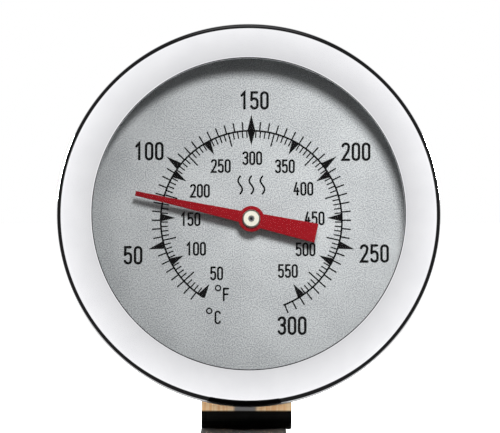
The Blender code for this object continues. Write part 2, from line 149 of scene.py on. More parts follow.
def softened(corners, steps=4):  # a closed outline whose corners (x, y, radius) are rounded
    outline = []
    for i, corner in enumerate(corners):
        here = Vector(corner[:2])
        radius = corner[2] if len(corner) > 2 else 0
        if radius == 0:
            outline.append(here)
            continue
        back = (Vector(corners[i - 1][:2]) - here).normalized()
        ahead = (Vector(corners[(i + 1) % len(corners)][:2]) - here).normalized()
        half = back.angle(ahead) / 2
        centre = here + (back + ahead).normalized() * radius / math.sin(half)
        first = here + back * radius / math.tan(half) - centre
        last = here + ahead * radius / math.tan(half) - centre
        turn = math.atan2(first.cross(last), first.dot(last))
        for k in range(steps + 1):
            outline.append(centre + Matrix.Rotation(turn * k / steps, 2) @ first)
    return outline


def turnOutline(outline, segments=192):  # spins a closed outline (radius, height) in mm round the z axis
    shape = bmesh.new()
    rings = []
    for radius, height in outline:
        if radius < 1e-6:
            rings.append([shape.verts.new((0, 0, height * mm))] * segments)
            continue
        ring = []
        for k in range(segments):
            turn = 2 * math.pi * k / segments
            ring.append(shape.verts.new((radius * math.cos(turn) * mm, radius * math.sin(turn) * mm,
                                         height * mm)))
        rings.append(ring)
    for low, high in zip(rings, rings[1:] + rings[:1]):
        for k in range(segments):
            corners = (low[k], low[(k + 1) % segments], high[(k + 1) % segments], high[k])
            unique = list(dict.fromkeys(corners))
            if len(unique) > 2:
                shape.faces.new(unique)
    bmesh.ops.recalc_face_normals(shape, faces=shape.faces[:])
    return shape


def sheetOutline(path, thickness):  # a sheet's section: the path, and the path moved in by its thickness
    return [Vector(point) for point in path] + offsetPath(path, thickness)[::-1]


# puts the place in the mesh and leaves the object at the origin
def finishPiece(name, mesh, surface, space, sharpAngle=32):
    mesh.name = name
    mesh.transform(space)
    mesh.materials.clear()
    mesh.materials.append(surface)
    mesh.polygons.foreach_set("use_smooth", [True] * len(mesh.polygons))
    mesh.set_sharp_from_angle(angle=math.radians(sharpAngle))
    piece = bpy.data.objects.new(name, mesh)
    bpy.context.scene.collection.objects.link(piece)
    return piece


def shapeToMesh(shape):
    mesh = bpy.data.meshes.new("shape")
    shape.to_mesh(mesh)
    shape.free()
    return mesh


def evaluatedMesh(piece):  # the piece as its modifiers leave it, as a plain mesh
    depsgraph = bpy.context.evaluated_depsgraph_get()
    mesh = bpy.data.meshes.new_from_object(piece.evaluated_get(depsgraph))
    bpy.data.objects.remove(piece)
    return mesh


def cutBy(mesh, cutterShape):  # an exact Boolean, with its result kept
    piece = bpy.data.objects.new("blank", mesh)
    cutter = bpy.data.objects.new("cutter", shapeToMesh(cutterShape))
    for part in (piece, cutter):
        bpy.context.scene.collection.objects.link(part)
    boolean = piece.modifiers.new("cut", "BOOLEAN")
    boolean.operation = "DIFFERENCE"
    boolean.solver = "EXACT"
    boolean.object = cutter
    result = evaluatedMesh(piece)
    bpy.data.objects.remove(cutter)
    return result


def addRod(shape, x, y, low, high, radius, segments=32):  # an upright cylinder in mm
    made = bmesh.ops.create_cone(shape, cap_ends=True, segments=segments, radius1=radius * mm,
                                 radius2=radius * mm,
                                 depth=(high - low) * mm)
    bmesh.ops.translate(shape, verts=made["verts"], vec=Vector((x, y, (low + high) / 2)) * mm)


def addBlock(shape, low, high):  # an upright box in mm
    made = bmesh.ops.create_cube(shape, size=1.0)
    size = Vector(high) - Vector(low)
    bmesh.ops.scale(shape, verts=made["verts"], vec=size * mm)
    bmesh.ops.translate(shape, verts=made["verts"], vec=(Vector(low) + Vector(high)) / 2 * mm)


def placePiece(piece, body, slot, *nodes):
    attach(piece, body)
    if nodes:
        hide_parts(*nodes)


# Materials. Lines and grain that would be too fine to show are drawn as coarse as they need to be.

latheMetals = {
    # mirror-polished stainless: bright and cool, with hairline rings left by the buffing wheel, and a skirt
    # left satin
    "polishedStainless": {"colour": "#DCDCDE", "shade": "#CFCFD2", "roughness": (0.05, 0.10), "lineMm": 0.05,
                          "bump": 0.02, "satinUnder": 3.6, "satin": 0.48},
    # deep-drawn stainless left as it came off the press: grey, with draw lines round the wall
    "drawnStainless": {"colour": "#C9CACB", "shade": "#B6B7B9", "roughness": (0.42, 0.54), "lineMm": 0.16,
                       "bump": 0.10},
    # facing cuts on an aluminium button: warm white rings round the middle
    "facedAluminium": {"colour": "#EDEBDD", "shade": "#D9D6C6", "roughness": (0.22, 0.38), "lineMm": 0.11,
                       "bump": 0.12},
    # turned brass, yellow where it is clean and browner in the tool marks
    "turnedBrass": {"colour": "#D9B26A", "shade": "#B58A45", "roughness": (0.20, 0.34), "lineMm": 0.10,
                    "bump": 0.10},
    # ground spindle steel: cool grey, finely ringed, with painted shade for the pit of its lathe centre: a
    # near-black spot in its middle
    "groundSteel": {"colour": "#A4A6A8", "shade": "#7E8083", "roughness": (0.16, 0.28), "lineMm": 0.06,
                    "bump": 0.06, "centreShadeMm": 0.26},
    # plain rolled aluminium band with a dull skin
    "rolledAluminium": {"colour": "#CDCFD0", "shade": "#B4B7B9", "roughness": (0.32, 0.46), "lineMm": 0.14,
                        "bump": 0.08},
}


def makeLatheMetal(name, centre=(0, 0)):  # rings round the head's axis, or round one that stands beside it
    look = latheMetals[name]
    surface, tree, shader = newSurface(name)
    place = headCoordinates(tree)
    moved = addNode(tree, "ShaderNodeVectorMath",
                    {"operation": "SUBTRACT", 1: (centre[0] * mm, centre[1] * mm, 0)},
                    {0: place})
    parts = addNode(tree, "ShaderNodeSeparateXYZ", links={0: moved.outputs[0]})
    flat = addNode(tree, "ShaderNodeCombineXYZ", links={0: parts.outputs[0], 1: parts.outputs[1]})
    radius = addNode(tree, "ShaderNodeVectorMath", {"operation": "LENGTH"}, {0: flat.outputs[0]})
    ring = addNode(tree, "ShaderNodeCombineXYZ", links={0: radius.outputs["Value"], 1: parts.outputs[2]})
    lines = addNode(tree, "ShaderNodeTexNoise",
                    {"Scale": 1 / (look["lineMm"] * mm), "Detail": 3.0, "Roughness": 0.6},
                    {"Vector": ring.outputs[0]})
    clouds = addNode(tree, "ShaderNodeTexNoise", {"Scale": 1 / (6 * mm), "Detail": 4.0, "Roughness": 0.55},
                     {"Vector": place})
    mixed = addNode(tree, "ShaderNodeMath", {"operation": "MULTIPLY_ADD", 1: 0.6},
                    {0: clouds.outputs[0], 2: lines.outputs[0]})
    rough = addNode(tree, "ShaderNodeMapRange", {"From Min": 0.55, "From Max": 1.05,
                                                 "To Min": look["roughness"][0],
                                                 "To Max": look["roughness"][1]},
                    {"Value": mixed.outputs[0]})
    colour = addNode(tree, "ShaderNodeMix",
                     {"data_type": "RGBA", 6: linear(look["colour"]), 7: linear(look["shade"])},
                     {0: clouds.outputs[0]})
    bump = addNode(tree, "ShaderNodeBump", {"Strength": look["bump"], "Distance": 0.02 * mm},
                   {"Height": lines.outputs[0]})
    if "satin" in look:
        low = addNode(tree, "ShaderNodeMapRange",
                      {"From Min": look["satinUnder"] * mm, "From Max": (look["satinUnder"] + 0.4) * mm,
                       "To Min": look["satin"], "To Max": 0.0},
                      {"Value": parts.outputs[2]})
        rough = addNode(tree, "ShaderNodeMath", {"operation": "MAXIMUM"},
                        {0: rough.outputs[0], 1: low.outputs[0]})
    # painted shade: a near-black spot in the middle stands in for the shadow inside the lathe centre's pit
    if "centreShadeMm" in look:
        centreShade = addNode(tree, "ShaderNodeMapRange",
                      {"From Min": look["centreShadeMm"] * 0.8 * mm, "From Max": look["centreShadeMm"] * 1.3 * mm},
                      {"Value": radius.outputs["Value"]})
        colour = addNode(tree, "ShaderNodeMix", {"data_type": "RGBA", 6: linear("#0E0E0F")},
                         {0: centreShade.outputs[0], 7: colour.outputs[2]})
    shader.inputs["Metallic"].default_value = 1.0
    dressShader(tree, shader, colour.outputs[2], rough.outputs[0], bump.outputs[0])
    return surface


sheetMetals = {
    # rolled bimetal strip: one brownish alloy on a grey one, lines along the strip
    "rolledBimetal": {"colour": "#B9AC98", "shade": "#94826A", "tint": "#A98C66", "roughness": (0.24, 0.40),
                      "lineMm": 0.12, "stretch": (0.3, 0.3, 1.0), "bump": 0.08},
    # zinc plate on pressed steel: grey with a faint blue and straw bloom
    "zincPlate": {"colour": "#B9BCBE", "shade": "#A2A49C", "tint": "#B4B79F", "roughness": (0.28, 0.44),
                  "lineMm": 0.20, "stretch": (0.4, 1.0, 1.0), "bump": 0.08},
}


def makeSheetMetal(name):
    look = sheetMetals[name]
    surface, tree, shader = newSurface(name)
    place = headCoordinates(tree)
    stretched = addNode(tree, "ShaderNodeVectorMath", {"operation": "MULTIPLY", 1: look["stretch"]},
                        {0: place})
    lines = addNode(tree, "ShaderNodeTexNoise",
                    {"Scale": 1 / (look["lineMm"] * mm), "Detail": 4.0, "Roughness": 0.65},
                    {"Vector": stretched.outputs[0]})
    clouds = addNode(tree, "ShaderNodeTexNoise", {"Scale": 1 / (5 * mm), "Detail": 4.0, "Distortion": 0.4},
                     {"Vector": place})
    rough = addNode(tree, "ShaderNodeMapRange", {"From Min": 0.3, "From Max": 0.7,
                                                 "To Min": look["roughness"][0],
                                                 "To Max": look["roughness"][1]},
                    {"Value": lines.outputs[0]})
    colour = addNode(tree, "ShaderNodeMix",
                     {"data_type": "RGBA", 6: linear(look["colour"]), 7: linear(look["shade"])},
                     {0: lines.outputs[0]})
    bloom = addNode(tree, "ShaderNodeMapRange", {"From Min": 0.42, "From Max": 0.68, "To Max": 0.7},
                    {"Value": clouds.outputs[0]})
    tinted = addNode(tree, "ShaderNodeMix", {"data_type": "RGBA", 7: linear(look["tint"])},
                     {0: bloom.outputs[0], 6: colour.outputs[2]})
    bump = addNode(tree, "ShaderNodeBump", {"Strength": look["bump"], "Distance": 0.02 * mm},
                   {"Height": lines.outputs[0]})
    shader.inputs["Metallic"].default_value = 1.0
    dressShader(tree, shader, tinted.outputs[2], rough.outputs[0], bump.outputs[0])
    return surface


# the stand strip's own steel colour, plus painted reflections: a pale-to-warm band above the bend, a grey
# patch in that band's middle, and near black below the bend
paintedStripReflections = {"bright": "#F7D9AE", "warm": "#F0BC86", "grey": "#8A8886", "steel": "#C6C6C5", "paintedDarkReflection": "#121211",
          "lineMm": 0.35, "crease": 3.62, "reflectionFadeFrom": 5.4, "reflectionFadeTo": 8.0, "greyFrom": -2.5, "greyTo": 1.25,
          "soft": 0.25, "creaseSoft": 0.12, "roughness": (0.34, 0.48)}


# matt-rolled strip: steel grey, with a painted warm straw-coloured reflection just above the bend, a painted
# grey reflection in that band's middle, and a painted dark reflection below the bend
def makeStainlessWithPaintedReflections():
    h = paintedStripReflections
    surface, tree, shader = newSurface("stainlessWithPaintedReflections")
    place = addNode(tree, "ShaderNodeTexCoord").outputs["Object"]
    parts = addNode(tree, "ShaderNodeSeparateXYZ", links={0: place})
    stretched = addNode(tree, "ShaderNodeVectorMath", {"operation": "MULTIPLY", 1: (1.0, 0.05, 0.05)},
                        {0: place})
    lines = addNode(tree, "ShaderNodeTexNoise", {"Scale": 1 / (h["lineMm"] * mm), "Detail": 3.0},
                    {"Vector": stretched.outputs[0]})
    reflectionStreaks = addNode(tree, "ShaderNodeMapRange", {"From Min": 0.38, "From Max": 0.62},
                    {"Value": lines.outputs[0]})
    # painted warm reflection, streaked along the strip
    warm = addNode(tree, "ShaderNodeMix", {"data_type": "RGBA", 6: linear(h["bright"]), 7: linear(h["warm"])},
                   {0: reflectionStreaks.outputs[0]})
    left = addNode(tree, "ShaderNodeMapRange",
                   {"From Min": (h["greyFrom"] - h["soft"]) * mm,
                    "From Max": (h["greyFrom"] + h["soft"]) * mm},
                   {"Value": parts.outputs[0]})
    right = addNode(tree, "ShaderNodeMapRange",
                    {"From Min": (h["greyTo"] - h["soft"]) * mm, "From Max": (h["greyTo"] + h["soft"]) * mm,
                     "To Min": 1.0, "To Max": 0.0}, {"Value": parts.outputs[0]})
    between = addNode(tree, "ShaderNodeMath", {"operation": "MULTIPLY"},
                      {0: left.outputs[0], 1: right.outputs[0]})
    # painted grey reflection across the middle of the warm band
    upper = addNode(tree, "ShaderNodeMix", {"data_type": "RGBA", 7: linear(h["grey"])},
                    {0: between.outputs[0], 6: warm.outputs[2]})
    # higher up the painted reflections fade into the plain steel
    high = addNode(tree, "ShaderNodeMapRange",
                   {"From Min": h["reflectionFadeFrom"] * mm, "From Max": h["reflectionFadeTo"] * mm},
                   {"Value": parts.outputs[2]})
    faded = addNode(tree, "ShaderNodeMix", {"data_type": "RGBA", 7: linear(h["steel"])},
                    {0: high.outputs[0], 6: upper.outputs[2]})
    below = addNode(tree, "ShaderNodeMapRange",
                    {"From Min": (h["crease"] - h["creaseSoft"]) * mm,
                     "From Max": (h["crease"] + h["creaseSoft"]) * mm, "To Min": 1.0,
                     "To Max": 0.0}, {"Value": parts.outputs[2]})
    # painted dark reflection below the bend, over the heel and the foot
    colour = addNode(tree, "ShaderNodeMix", {"data_type": "RGBA", 7: linear(h["paintedDarkReflection"])},
                     {0: below.outputs[0], 6: faded.outputs[2]})
    rough = addNode(tree, "ShaderNodeMapRange", {"To Min": h["roughness"][0], "To Max": h["roughness"][1]},
                    {"Value": lines.outputs[0]})
    bump = addNode(tree, "ShaderNodeBump", {"Strength": 0.06, "Distance": 0.02 * mm},
                   {"Height": lines.outputs[0]})
    shader.inputs["Metallic"].default_value = 1.0
    dressShader(tree, shader, colour.outputs[2], rough.outputs[0], bump.outputs[0])
    return surface


# etching leaves finer grain than this; it is drawn coarser so that it shows
anodised = {"light": "#BEC1C2", "dark": "#838688", "grainMm": 0.19, "cloudMm": 9.0, "roughness": (0.45, 0.62)}


# fine-etched aluminium, clear anodised: an even silver with a sandy grain and little shine
def makeAnodisedDial():
    surface, tree, shader = newSurface("anodisedAluminium")
    place = headCoordinates(tree)
    grain = addNode(tree, "ShaderNodeTexNoise", {"Scale": 1 / (anodised["grainMm"] * mm), "Detail": 2.0},
                    {"Vector": place})
    clouds = addNode(tree, "ShaderNodeTexNoise", {"Scale": 1 / (anodised["cloudMm"] * mm), "Detail": 3.0},
                     {"Vector": place})
    mixed = addNode(tree, "ShaderNodeMath", {"operation": "MULTIPLY_ADD", 1: 0.2},
                    {0: clouds.outputs[0], 2: grain.outputs[0]})
    share = addNode(tree, "ShaderNodeMapRange", {"From Min": 0.45, "From Max": 0.75},
                    {"Value": mixed.outputs[0]})
    colour = addNode(tree, "ShaderNodeMix", {"data_type": "RGBA", 6: linear(anodised["dark"]),
                                             7: linear(anodised["light"])}, {0: share.outputs[0]})
    rough = addNode(tree, "ShaderNodeMapRange",
                    {"To Min": anodised["roughness"][0], "To Max": anodised["roughness"][1]},
                    {"Value": grain.outputs[0]})
    bump = addNode(tree, "ShaderNodeBump", {"Strength": 0.12, "Distance": 0.01 * mm},
                   {"Height": grain.outputs[0]})
    shader.inputs["Metallic"].default_value = 0.15
    dressShader(tree, shader, colour.outputs[2], rough.outputs[0], bump.outputs[0])
    return surface


coatings = {
    # screen-printed ink: near black and matte, thinner here and there
    "screenInk": {"colour": "#060606", "shade": "#0E0E0F", "roughness": (0.45, 0.62), "grainMm": 0.10,
                  "bump": 0.10, "gloss": 0.1},
    # satin enamel sprayed on aluminium: a clean signal red with a slight orange peel
    "redEnamel": {"colour": "#7E0D16", "shade": "#700A13", "roughness": (0.44, 0.50), "grainMm": 0.35,
                  "bump": 0.02, "gloss": 0.2},
    # moulded silicone: soft grey with a bloom of dust
    "mouldedSilicone": {"colour": "#8C8F90", "shade": "#7B7E80", "roughness": (0.62, 0.80), "grainMm": 0.25,
                        "bump": 0.15, "gloss": 0.4},
}


def makeCoating(name):
    look = coatings[name]
    surface, tree, shader = newSurface(name)
    place = headCoordinates(tree)
    grain = addNode(tree, "ShaderNodeTexNoise", {"Scale": 1 / (look["grainMm"] * mm), "Detail": 3.0},
                    {"Vector": place})
    share = addNode(tree, "ShaderNodeMapRange", {"From Min": 0.35, "From Max": 0.65},
                    {"Value": grain.outputs[0]})
    colour = addNode(tree, "ShaderNodeMix",
                     {"data_type": "RGBA", 6: linear(look["colour"]), 7: linear(look["shade"])},
                     {0: share.outputs[0]})
    rough = addNode(tree, "ShaderNodeMapRange",
                    {"To Min": look["roughness"][0], "To Max": look["roughness"][1]},
                    {"Value": share.outputs[0]})
    bump = addNode(tree, "ShaderNodeBump", {"Strength": look["bump"], "Distance": 0.02 * mm},
                   {"Height": grain.outputs[0]})
    shader.inputs["Specular IOR Level"].default_value = look["gloss"]
    dressShader(tree, shader, colour.outputs[2], rough.outputs[0], bump.outputs[0])
    return surface


def makeClearGlass():  # toughened glass, clear and flat: only its reflection shows
    surface = bpy.data.materials.new("toughenedGlass")
    surface.use_nodes = True
    tree = surface.node_tree
    tree.nodes.clear()
    place = headCoordinates(tree)
    film = addNode(tree, "ShaderNodeTexNoise", {"Scale": 1 / (7 * mm), "Detail": 5.0}, {"Vector": place})
    rough = addNode(tree, "ShaderNodeMapRange", {"To Min": 0.0, "To Max": 0.03}, {"Value": film.outputs[0]})
    clear = addNode(tree, "ShaderNodeBsdfTransparent", {"Color": linear("#FEFEFE")})
    shine = addNode(tree, "ShaderNodeBsdfGlossy", links={"Roughness": rough.outputs[0]})
    facing = addNode(tree, "ShaderNodeLayerWeight", {"Blend": 0.5})
    steep = addNode(tree, "ShaderNodeMath", {"operation": "POWER", 1: 5.0}, {0: facing.outputs["Facing"]})
    # straight on it reflects far less than bare glass would, so that the print stays dark
    share = addNode(tree, "ShaderNodeMapRange", {"To Min": 0.0015}, {"Value": steep.outputs[0]})
    mixed = addNode(tree, "ShaderNodeMixShader",
                    links={0: share.outputs[0], 1: clear.outputs[0], 2: shine.outputs[0]})
    addNode(tree, "ShaderNodeOutputMaterial", links={"Surface": mixed.outputs[0]})
    return surface


polishedStainless = makeLatheMetal("polishedStainless")
drawnStainless = makeLatheMetal("drawnStainless")
rolledAluminium = makeLatheMetal("rolledAluminium")
facedAluminium = makeLatheMetal("facedAluminium", spindlePlace.xy / mm)
turnedBrass = makeLatheMetal("turnedBrass", spindlePlace.xy / mm)
groundSteel = makeLatheMetal("groundSteel", spindlePlace.xy / mm)
stainlessWithPaintedReflections = makeStainlessWithPaintedReflections()
rolledBimetal = makeSheetMetal("rolledBimetal")
zincPlate = makeSheetMetal("zincPlate")
anodisedAluminium = makeAnodisedDial()
screenInk = makeCoating("screenInk")
redEnamel = makeCoating("redEnamel")
mouldedSilicone = makeCoating("mouldedSilicone")
toughenedGlass = makeClearGlass()
print("materials made")


# The bezel.

bezel = {"radius": halfWidthOf("bezel_ring"), "opening": 26.4, "lipBottom": 4.9, "crown": 5.8,
         "lipRoll": 0.35, "fall": 0.45, "tilt": 12.0, "shoulder": 1.2, "skirtBottom": 0.5, "crimp": 30.0,
         "sheet": 0.6}


def makeBezel():
    b = bezel
    tilt = math.radians(b["tilt"])
    lipCentre = b["opening"] + b["lipRoll"]
    faceEnd = b["radius"] - b["shoulder"] * (1 - math.sin(tilt))
    path = [(b["opening"], b["lipBottom"])]
    path += arcPoints(lipCentre, b["crown"] - b["lipRoll"], b["lipRoll"], 180, 90, 12)
    for i in range(1, 16):
        across = i / 16
        path.append((lipCentre + (faceEnd - lipCentre) * across, b["crown"] - b["fall"] * across ** 2))
    shoulderY = b["crown"] - b["fall"] - b["shoulder"] * math.cos(tilt)
    path += arcPoints(b["radius"] - b["shoulder"], shoulderY, b["shoulder"], 90 - b["tilt"], 0, 16)
    path += arcPoints(b["radius"] - b["sheet"], b["skirtBottom"] + b["sheet"], b["sheet"], 0, -90, 8)[:-1]
    path.append((b["radius"] - b["sheet"] - 0.15, b["skirtBottom"]))
    path.append((b["crimp"], b["skirtBottom"]))
    lipPoints = 14  # the roll is tighter than the sheet is thick, so its inside is a plain corner
    within = offsetPath(path, b["sheet"])[lipPoints:]
    corner = b["opening"] + b["sheet"]
    within = [Vector((corner, b["lipBottom"])), Vector((corner, b["crown"] - b["sheet"]))] + within
    shape = turnOutline([Vector(point) for point in path] + within[::-1], 256)
    piece = finishPiece("bezelRing", shapeToMesh(shape), polishedStainless, headSpace)
    placePiece(piece, "case", "bezel_steel", "bezel_ring")


makeBezel()
print("bezel made")


# The glass and the ring below it.

glass = {"radius": halfWidthOf("lens_glass"), "top": 4.6, "thick": 1.2, "edge": 0.3}
spacer = {"radius": halfWidthOf("dial_spacer_ring"), "wall": 0.7, "bottom": 0.3, "top": 3.1}


def makeGlass():
    g = glass
    bottom = g["top"] - g["thick"]
    outline = [(0, g["top"]), (g["radius"] - g["edge"], g["top"]), (g["radius"], g["top"] - g["edge"]),
               (g["radius"], bottom + g["edge"]), (g["radius"] - g["edge"], bottom), (0, bottom)]
    piece = finishPiece("lensGlass", shapeToMesh(turnOutline(outline, 128)), toughenedGlass, headSpace)
    placePiece(piece, "case", "lens_glass", "lens_glass")


def makeSpacer():
    s = spacer
    inner = s["radius"] - s["wall"]
    outline = softened([(s["radius"], s["top"], 0.1), (s["radius"], s["bottom"], 0.1),
                        (inner, s["bottom"], 0.1),
                        (inner, s["top"], 0.1)])
    piece = finishPiece("dialSpacerRing", shapeToMesh(turnOutline(outline, 192)), rolledAluminium, headSpace)
    placePiece(piece, "case", "spacer_aluminium", "dial_spacer_ring")


makeGlass()
makeSpacer()
print("glass and spacer made")


# The dial plate.

dial = {"radius": halfWidthOf("dial_plate"), "hole": 2.0, "edge": 0.12}


def makeDialPlate():
    d = dial
    outline = softened([(0, 0), (d["radius"], 0, d["edge"]), (d["radius"], -dialThick, d["edge"]),
                        (0, -dialThick)], 3)
    blank = shapeToMesh(turnOutline(outline, 192))
    hole = bmesh.new()
    addRod(hole, spindlePlace.x / mm, spindlePlace.y / mm, -1.5, 1.0, d["hole"], 64)
    piece = finishPiece("dialPlate", cutBy(blank, hole), anodisedAluminium, headSpace)
    placePiece(piece, "case", "dial_face", "dial_plate")


makeDialPlate()


# The printed scale: lines and arrowheads repeat round an arc, so geometry nodes lay them out.

scale = {"centre": (0.45, -0.68), "radius": 15.4, "line": 0.30, "ink": 0.02, "lift": 0.005,
         "celsiusStep": 1.056, "celsiusTop": 150, "fahrenheitStep": 0.5864, "fahrenheitTop": 300, "first": 10,
         "arcLast": 300.5}
scaleSpace = headSpace @ Matrix.Translation((scale["centre"][0] * mm, scale["centre"][1] * mm,
                                             scale["lift"] * mm))


# one row of marks round the arc, each a bar or an arrowhead that points away from the arc
def makeMarkTree():
    tree = bpy.data.node_groups.new("scaleMarks", "GeometryNodeTree")
    for name, kind in (("Count", "NodeSocketInt"), ("First", "NodeSocketFloat"), ("Step", "NodeSocketFloat"),
                       ("Radius", "NodeSocketFloat"), ("Length", "NodeSocketFloat"),
                       ("Width", "NodeSocketFloat"),
                       ("Ink", "NodeSocketFloat"), ("Arrowhead", "NodeSocketBool"),
                       ("Surface", "NodeSocketMaterial")):
        tree.interface.new_socket(name, in_out="INPUT", socket_type=kind)
    tree.interface.new_socket("Marks", in_out="OUTPUT", socket_type="NodeSocketGeometry")
    given = addNode(tree, "NodeGroupInput").outputs
    points = addNode(tree, "GeometryNodePoints", links={"Count": given["Count"]})
    index = addNode(tree, "GeometryNodeInputIndex")
    turn = addNode(tree, "ShaderNodeMath", {"operation": "MULTIPLY_ADD"},
                   {0: index.outputs[0], 1: given["Step"], 2: given["First"]})
    across = addNode(tree, "ShaderNodeMath", {"operation": "SINE"}, {0: turn.outputs[0]})
    up = addNode(tree, "ShaderNodeMath", {"operation": "COSINE"}, {0: turn.outputs[0]})
    outward = addNode(tree, "ShaderNodeCombineXYZ", links={0: across.outputs[0], 1: up.outputs[0]})
    placed = addNode(tree, "ShaderNodeVectorMath", {"operation": "SCALE"},
                     {0: outward.outputs[0], "Scale": given["Radius"]})
    moved = addNode(tree, "GeometryNodeSetPosition",
                    links={"Geometry": points.outputs[0], "Position": placed.outputs[0]})
    size = addNode(tree, "ShaderNodeCombineXYZ",
                   links={0: given["Width"], 1: given["Length"], 2: given["Ink"]})
    bar = addNode(tree, "GeometryNodeMeshCube", links={"Size": size.outputs[0]})
    prism = addNode(tree, "GeometryNodeMeshCylinder", {"Vertices": 3, "Radius": 1.0, "Depth": 1.0})
    prismScale = addNode(tree, "ShaderNodeVectorMath",
                         {"operation": "MULTIPLY", 1: (1 / math.sqrt(3), 1 / 1.5, 1.0)},
                         {0: size.outputs[0]})
    stood = addNode(tree, "GeometryNodeTransform", {"Rotation": (0, 0, math.pi / 2)},
                    {"Geometry": prism.outputs[0]})
    sized = addNode(tree, "GeometryNodeTransform",
                    links={"Geometry": stood.outputs[0], "Scale": prismScale.outputs[0]})
    sixth = addNode(tree, "ShaderNodeMath", {"operation": "DIVIDE", 1: -6.0}, {0: given["Length"]})
    back = addNode(tree, "ShaderNodeCombineXYZ", links={1: sixth.outputs[0]})
    centred = addNode(tree, "GeometryNodeTransform",
                      links={"Geometry": sized.outputs[0], "Translation": back.outputs[0]})
    chosen = addNode(tree, "GeometryNodeSwitch", {"input_type": "GEOMETRY"},
                     {"Switch": given["Arrowhead"], "False": bar.outputs[0], "True": centred.outputs[0]})
    half = addNode(tree, "ShaderNodeMath", {"operation": "MULTIPLY", 1: 0.5}, {0: given["Length"]})
    reach = addNode(tree, "ShaderNodeCombineXYZ", links={1: half.outputs[0]})
    based = addNode(tree, "GeometryNodeTransform",
                    links={"Geometry": chosen.outputs[0], "Translation": reach.outputs[0]})
    backTurn = addNode(tree, "ShaderNodeMath", {"operation": "MULTIPLY", 1: -1.0}, {0: turn.outputs[0]})
    facing = addNode(tree, "ShaderNodeCombineXYZ", links={2: backTurn.outputs[0]})
    copies = addNode(tree, "GeometryNodeInstanceOnPoints",
                     links={"Points": moved.outputs[0], "Instance": based.outputs[0],
                            "Rotation": facing.outputs[0]})
    real = addNode(tree, "GeometryNodeRealizeInstances", links={"Geometry": copies.outputs[0]})
    inked = addNode(tree, "GeometryNodeSetMaterial",
                    links={"Geometry": real.outputs[0], "Material": given["Surface"]})
    addNode(tree, "NodeGroupOutput", links={0: inked.outputs[0]})
    return tree


def growMesh(tree, values):  # runs a geometry tree on an empty mesh and returns what it makes
    host = bpy.data.objects.new("host", bpy.data.meshes.new("host"))
    bpy.context.scene.collection.objects.link(host)
    grown = host.modifiers.new("grown", "NODES")
    grown.node_group = tree
    for item in tree.interface.items_tree:
        if item.item_type == "SOCKET" and item.in_out == "INPUT" and item.name in values:
            grown[item.identifier] = values[item.name]
    return evaluatedMesh(host)


def addMesh(shape, mesh):  # joins a grown mesh into a shape
    shape.from_mesh(mesh)
    bpy.data.meshes.remove(mesh)


# first value, step and count on the scale named, then length and width in mm (a negative length points in)
markRows = {
    "celsiusBars": {"scale": "celsius", "first": 15, "step": 5, "count": 58, "length": 1.55, "width": 0.24},
    "celsiusArrows": {"scale": "celsius", "first": 50, "step": 50, "count": 5, "length": 2.8, "width": 1.35,
                      "arrow": True},
    "fahrenheitBars": {"scale": "fahrenheit", "first": 55, "step": 5, "count": 99, "length": -1.2,
                       "width": 0.22},
    "fahrenheitQuarters": {"scale": "fahrenheit", "first": 75, "step": 50, "count": 10, "length": -2.3,
                           "width": 0.24},
    "fahrenheitArrows": {"scale": "fahrenheit", "first": 50, "step": 50, "count": 11, "length": -2.5,
                         "width": 1.35, "arrow": True},
}


def addMarkRow(shape, tree, row):
    step = scale[row["scale"] + "Step"]
    mesh = growMesh(tree, {"Count": row["count"],
                           "First": math.radians((row["first"] - scale[row["scale"] + "Top"]) * step),
                           "Step": math.radians(row["step"] * step), "Radius": scale["radius"] * mm,
                           "Length": row["length"] * mm, "Width": row["width"] * mm, "Ink": scale["ink"] * mm,
                           "Arrowhead": row.get("arrow", False), "Surface": screenInk})
    if row["length"] < 0:  # a negative length turns the marks inside out
        mesh.flip_normals()
    addMesh(shape, mesh)


def addInkStroke(shape, path, width, closed=False):  # a flat line of ink with round ends, in mm
    points = [Vector(point) for point in path]
    half = width / 2
    top, bottom = scale["ink"] / 2 * mm, -scale["ink"] / 2 * mm
    count = len(points)
    left, right = [], []
    for i, point in enumerate(points):
        before = points[i - 1] if i > 0 or closed else None
        after = points[(i + 1) % count] if i < count - 1 or closed else None
        sides = ((before, point), (point, after))
        directions = [(b - a).normalized() for a, b in sides if a is not None and b is not None]
        along = sum(directions, Vector((0, 0))).normalized()
        side = Vector((-along.y, along.x))
        stretch = half / max(side.dot(Vector((-directions[0].y, directions[0].x))), 0.4)
        left.append(point + side * stretch)
        right.append(point - side * stretch)
    if closed:
        for k in range(count):
            n = (k + 1) % count
            addPrism(shape, [left[n], left[k], right[k], right[n]], top, bottom)
        return
    first = (points[0] - points[1]).normalized()
    last = (points[-1] - points[-2]).normalized()
    capSteps = 8
    startTurn = math.degrees(math.atan2(first.y, first.x))
    endTurn = math.degrees(math.atan2(last.y, last.x))
    startCap = arcPoints(*points[0], half, startTurn - 90, startTurn + 90, capSteps)
    endCap = arcPoints(*points[-1], half, endTurn - 90, endTurn + 90, capSteps)
    for k in range(count - 1):
        addPrism(shape, [left[k + 1], left[k], right[k], right[k + 1]], top, bottom)
    addPrism(shape, [Vector(point) for point in startCap], top, bottom)
    addPrism(shape, [Vector(point) for point in endCap], top, bottom)


def addPrism(shape, outline, top, bottom):  # an anticlockwise outline in mm, given a thickness
    upper = [shape.verts.new((point.x * mm, point.y * mm, top)) for point in outline]
    lower = [shape.verts.new((point.x * mm, point.y * mm, bottom)) for point in outline]
    shape.faces.new(upper)
    shape.faces.new(lower[::-1])
    for k in range(len(outline)):
        n = (k + 1) % len(outline)
        shape.faces.new((lower[k], lower[n], upper[n], upper[k]))


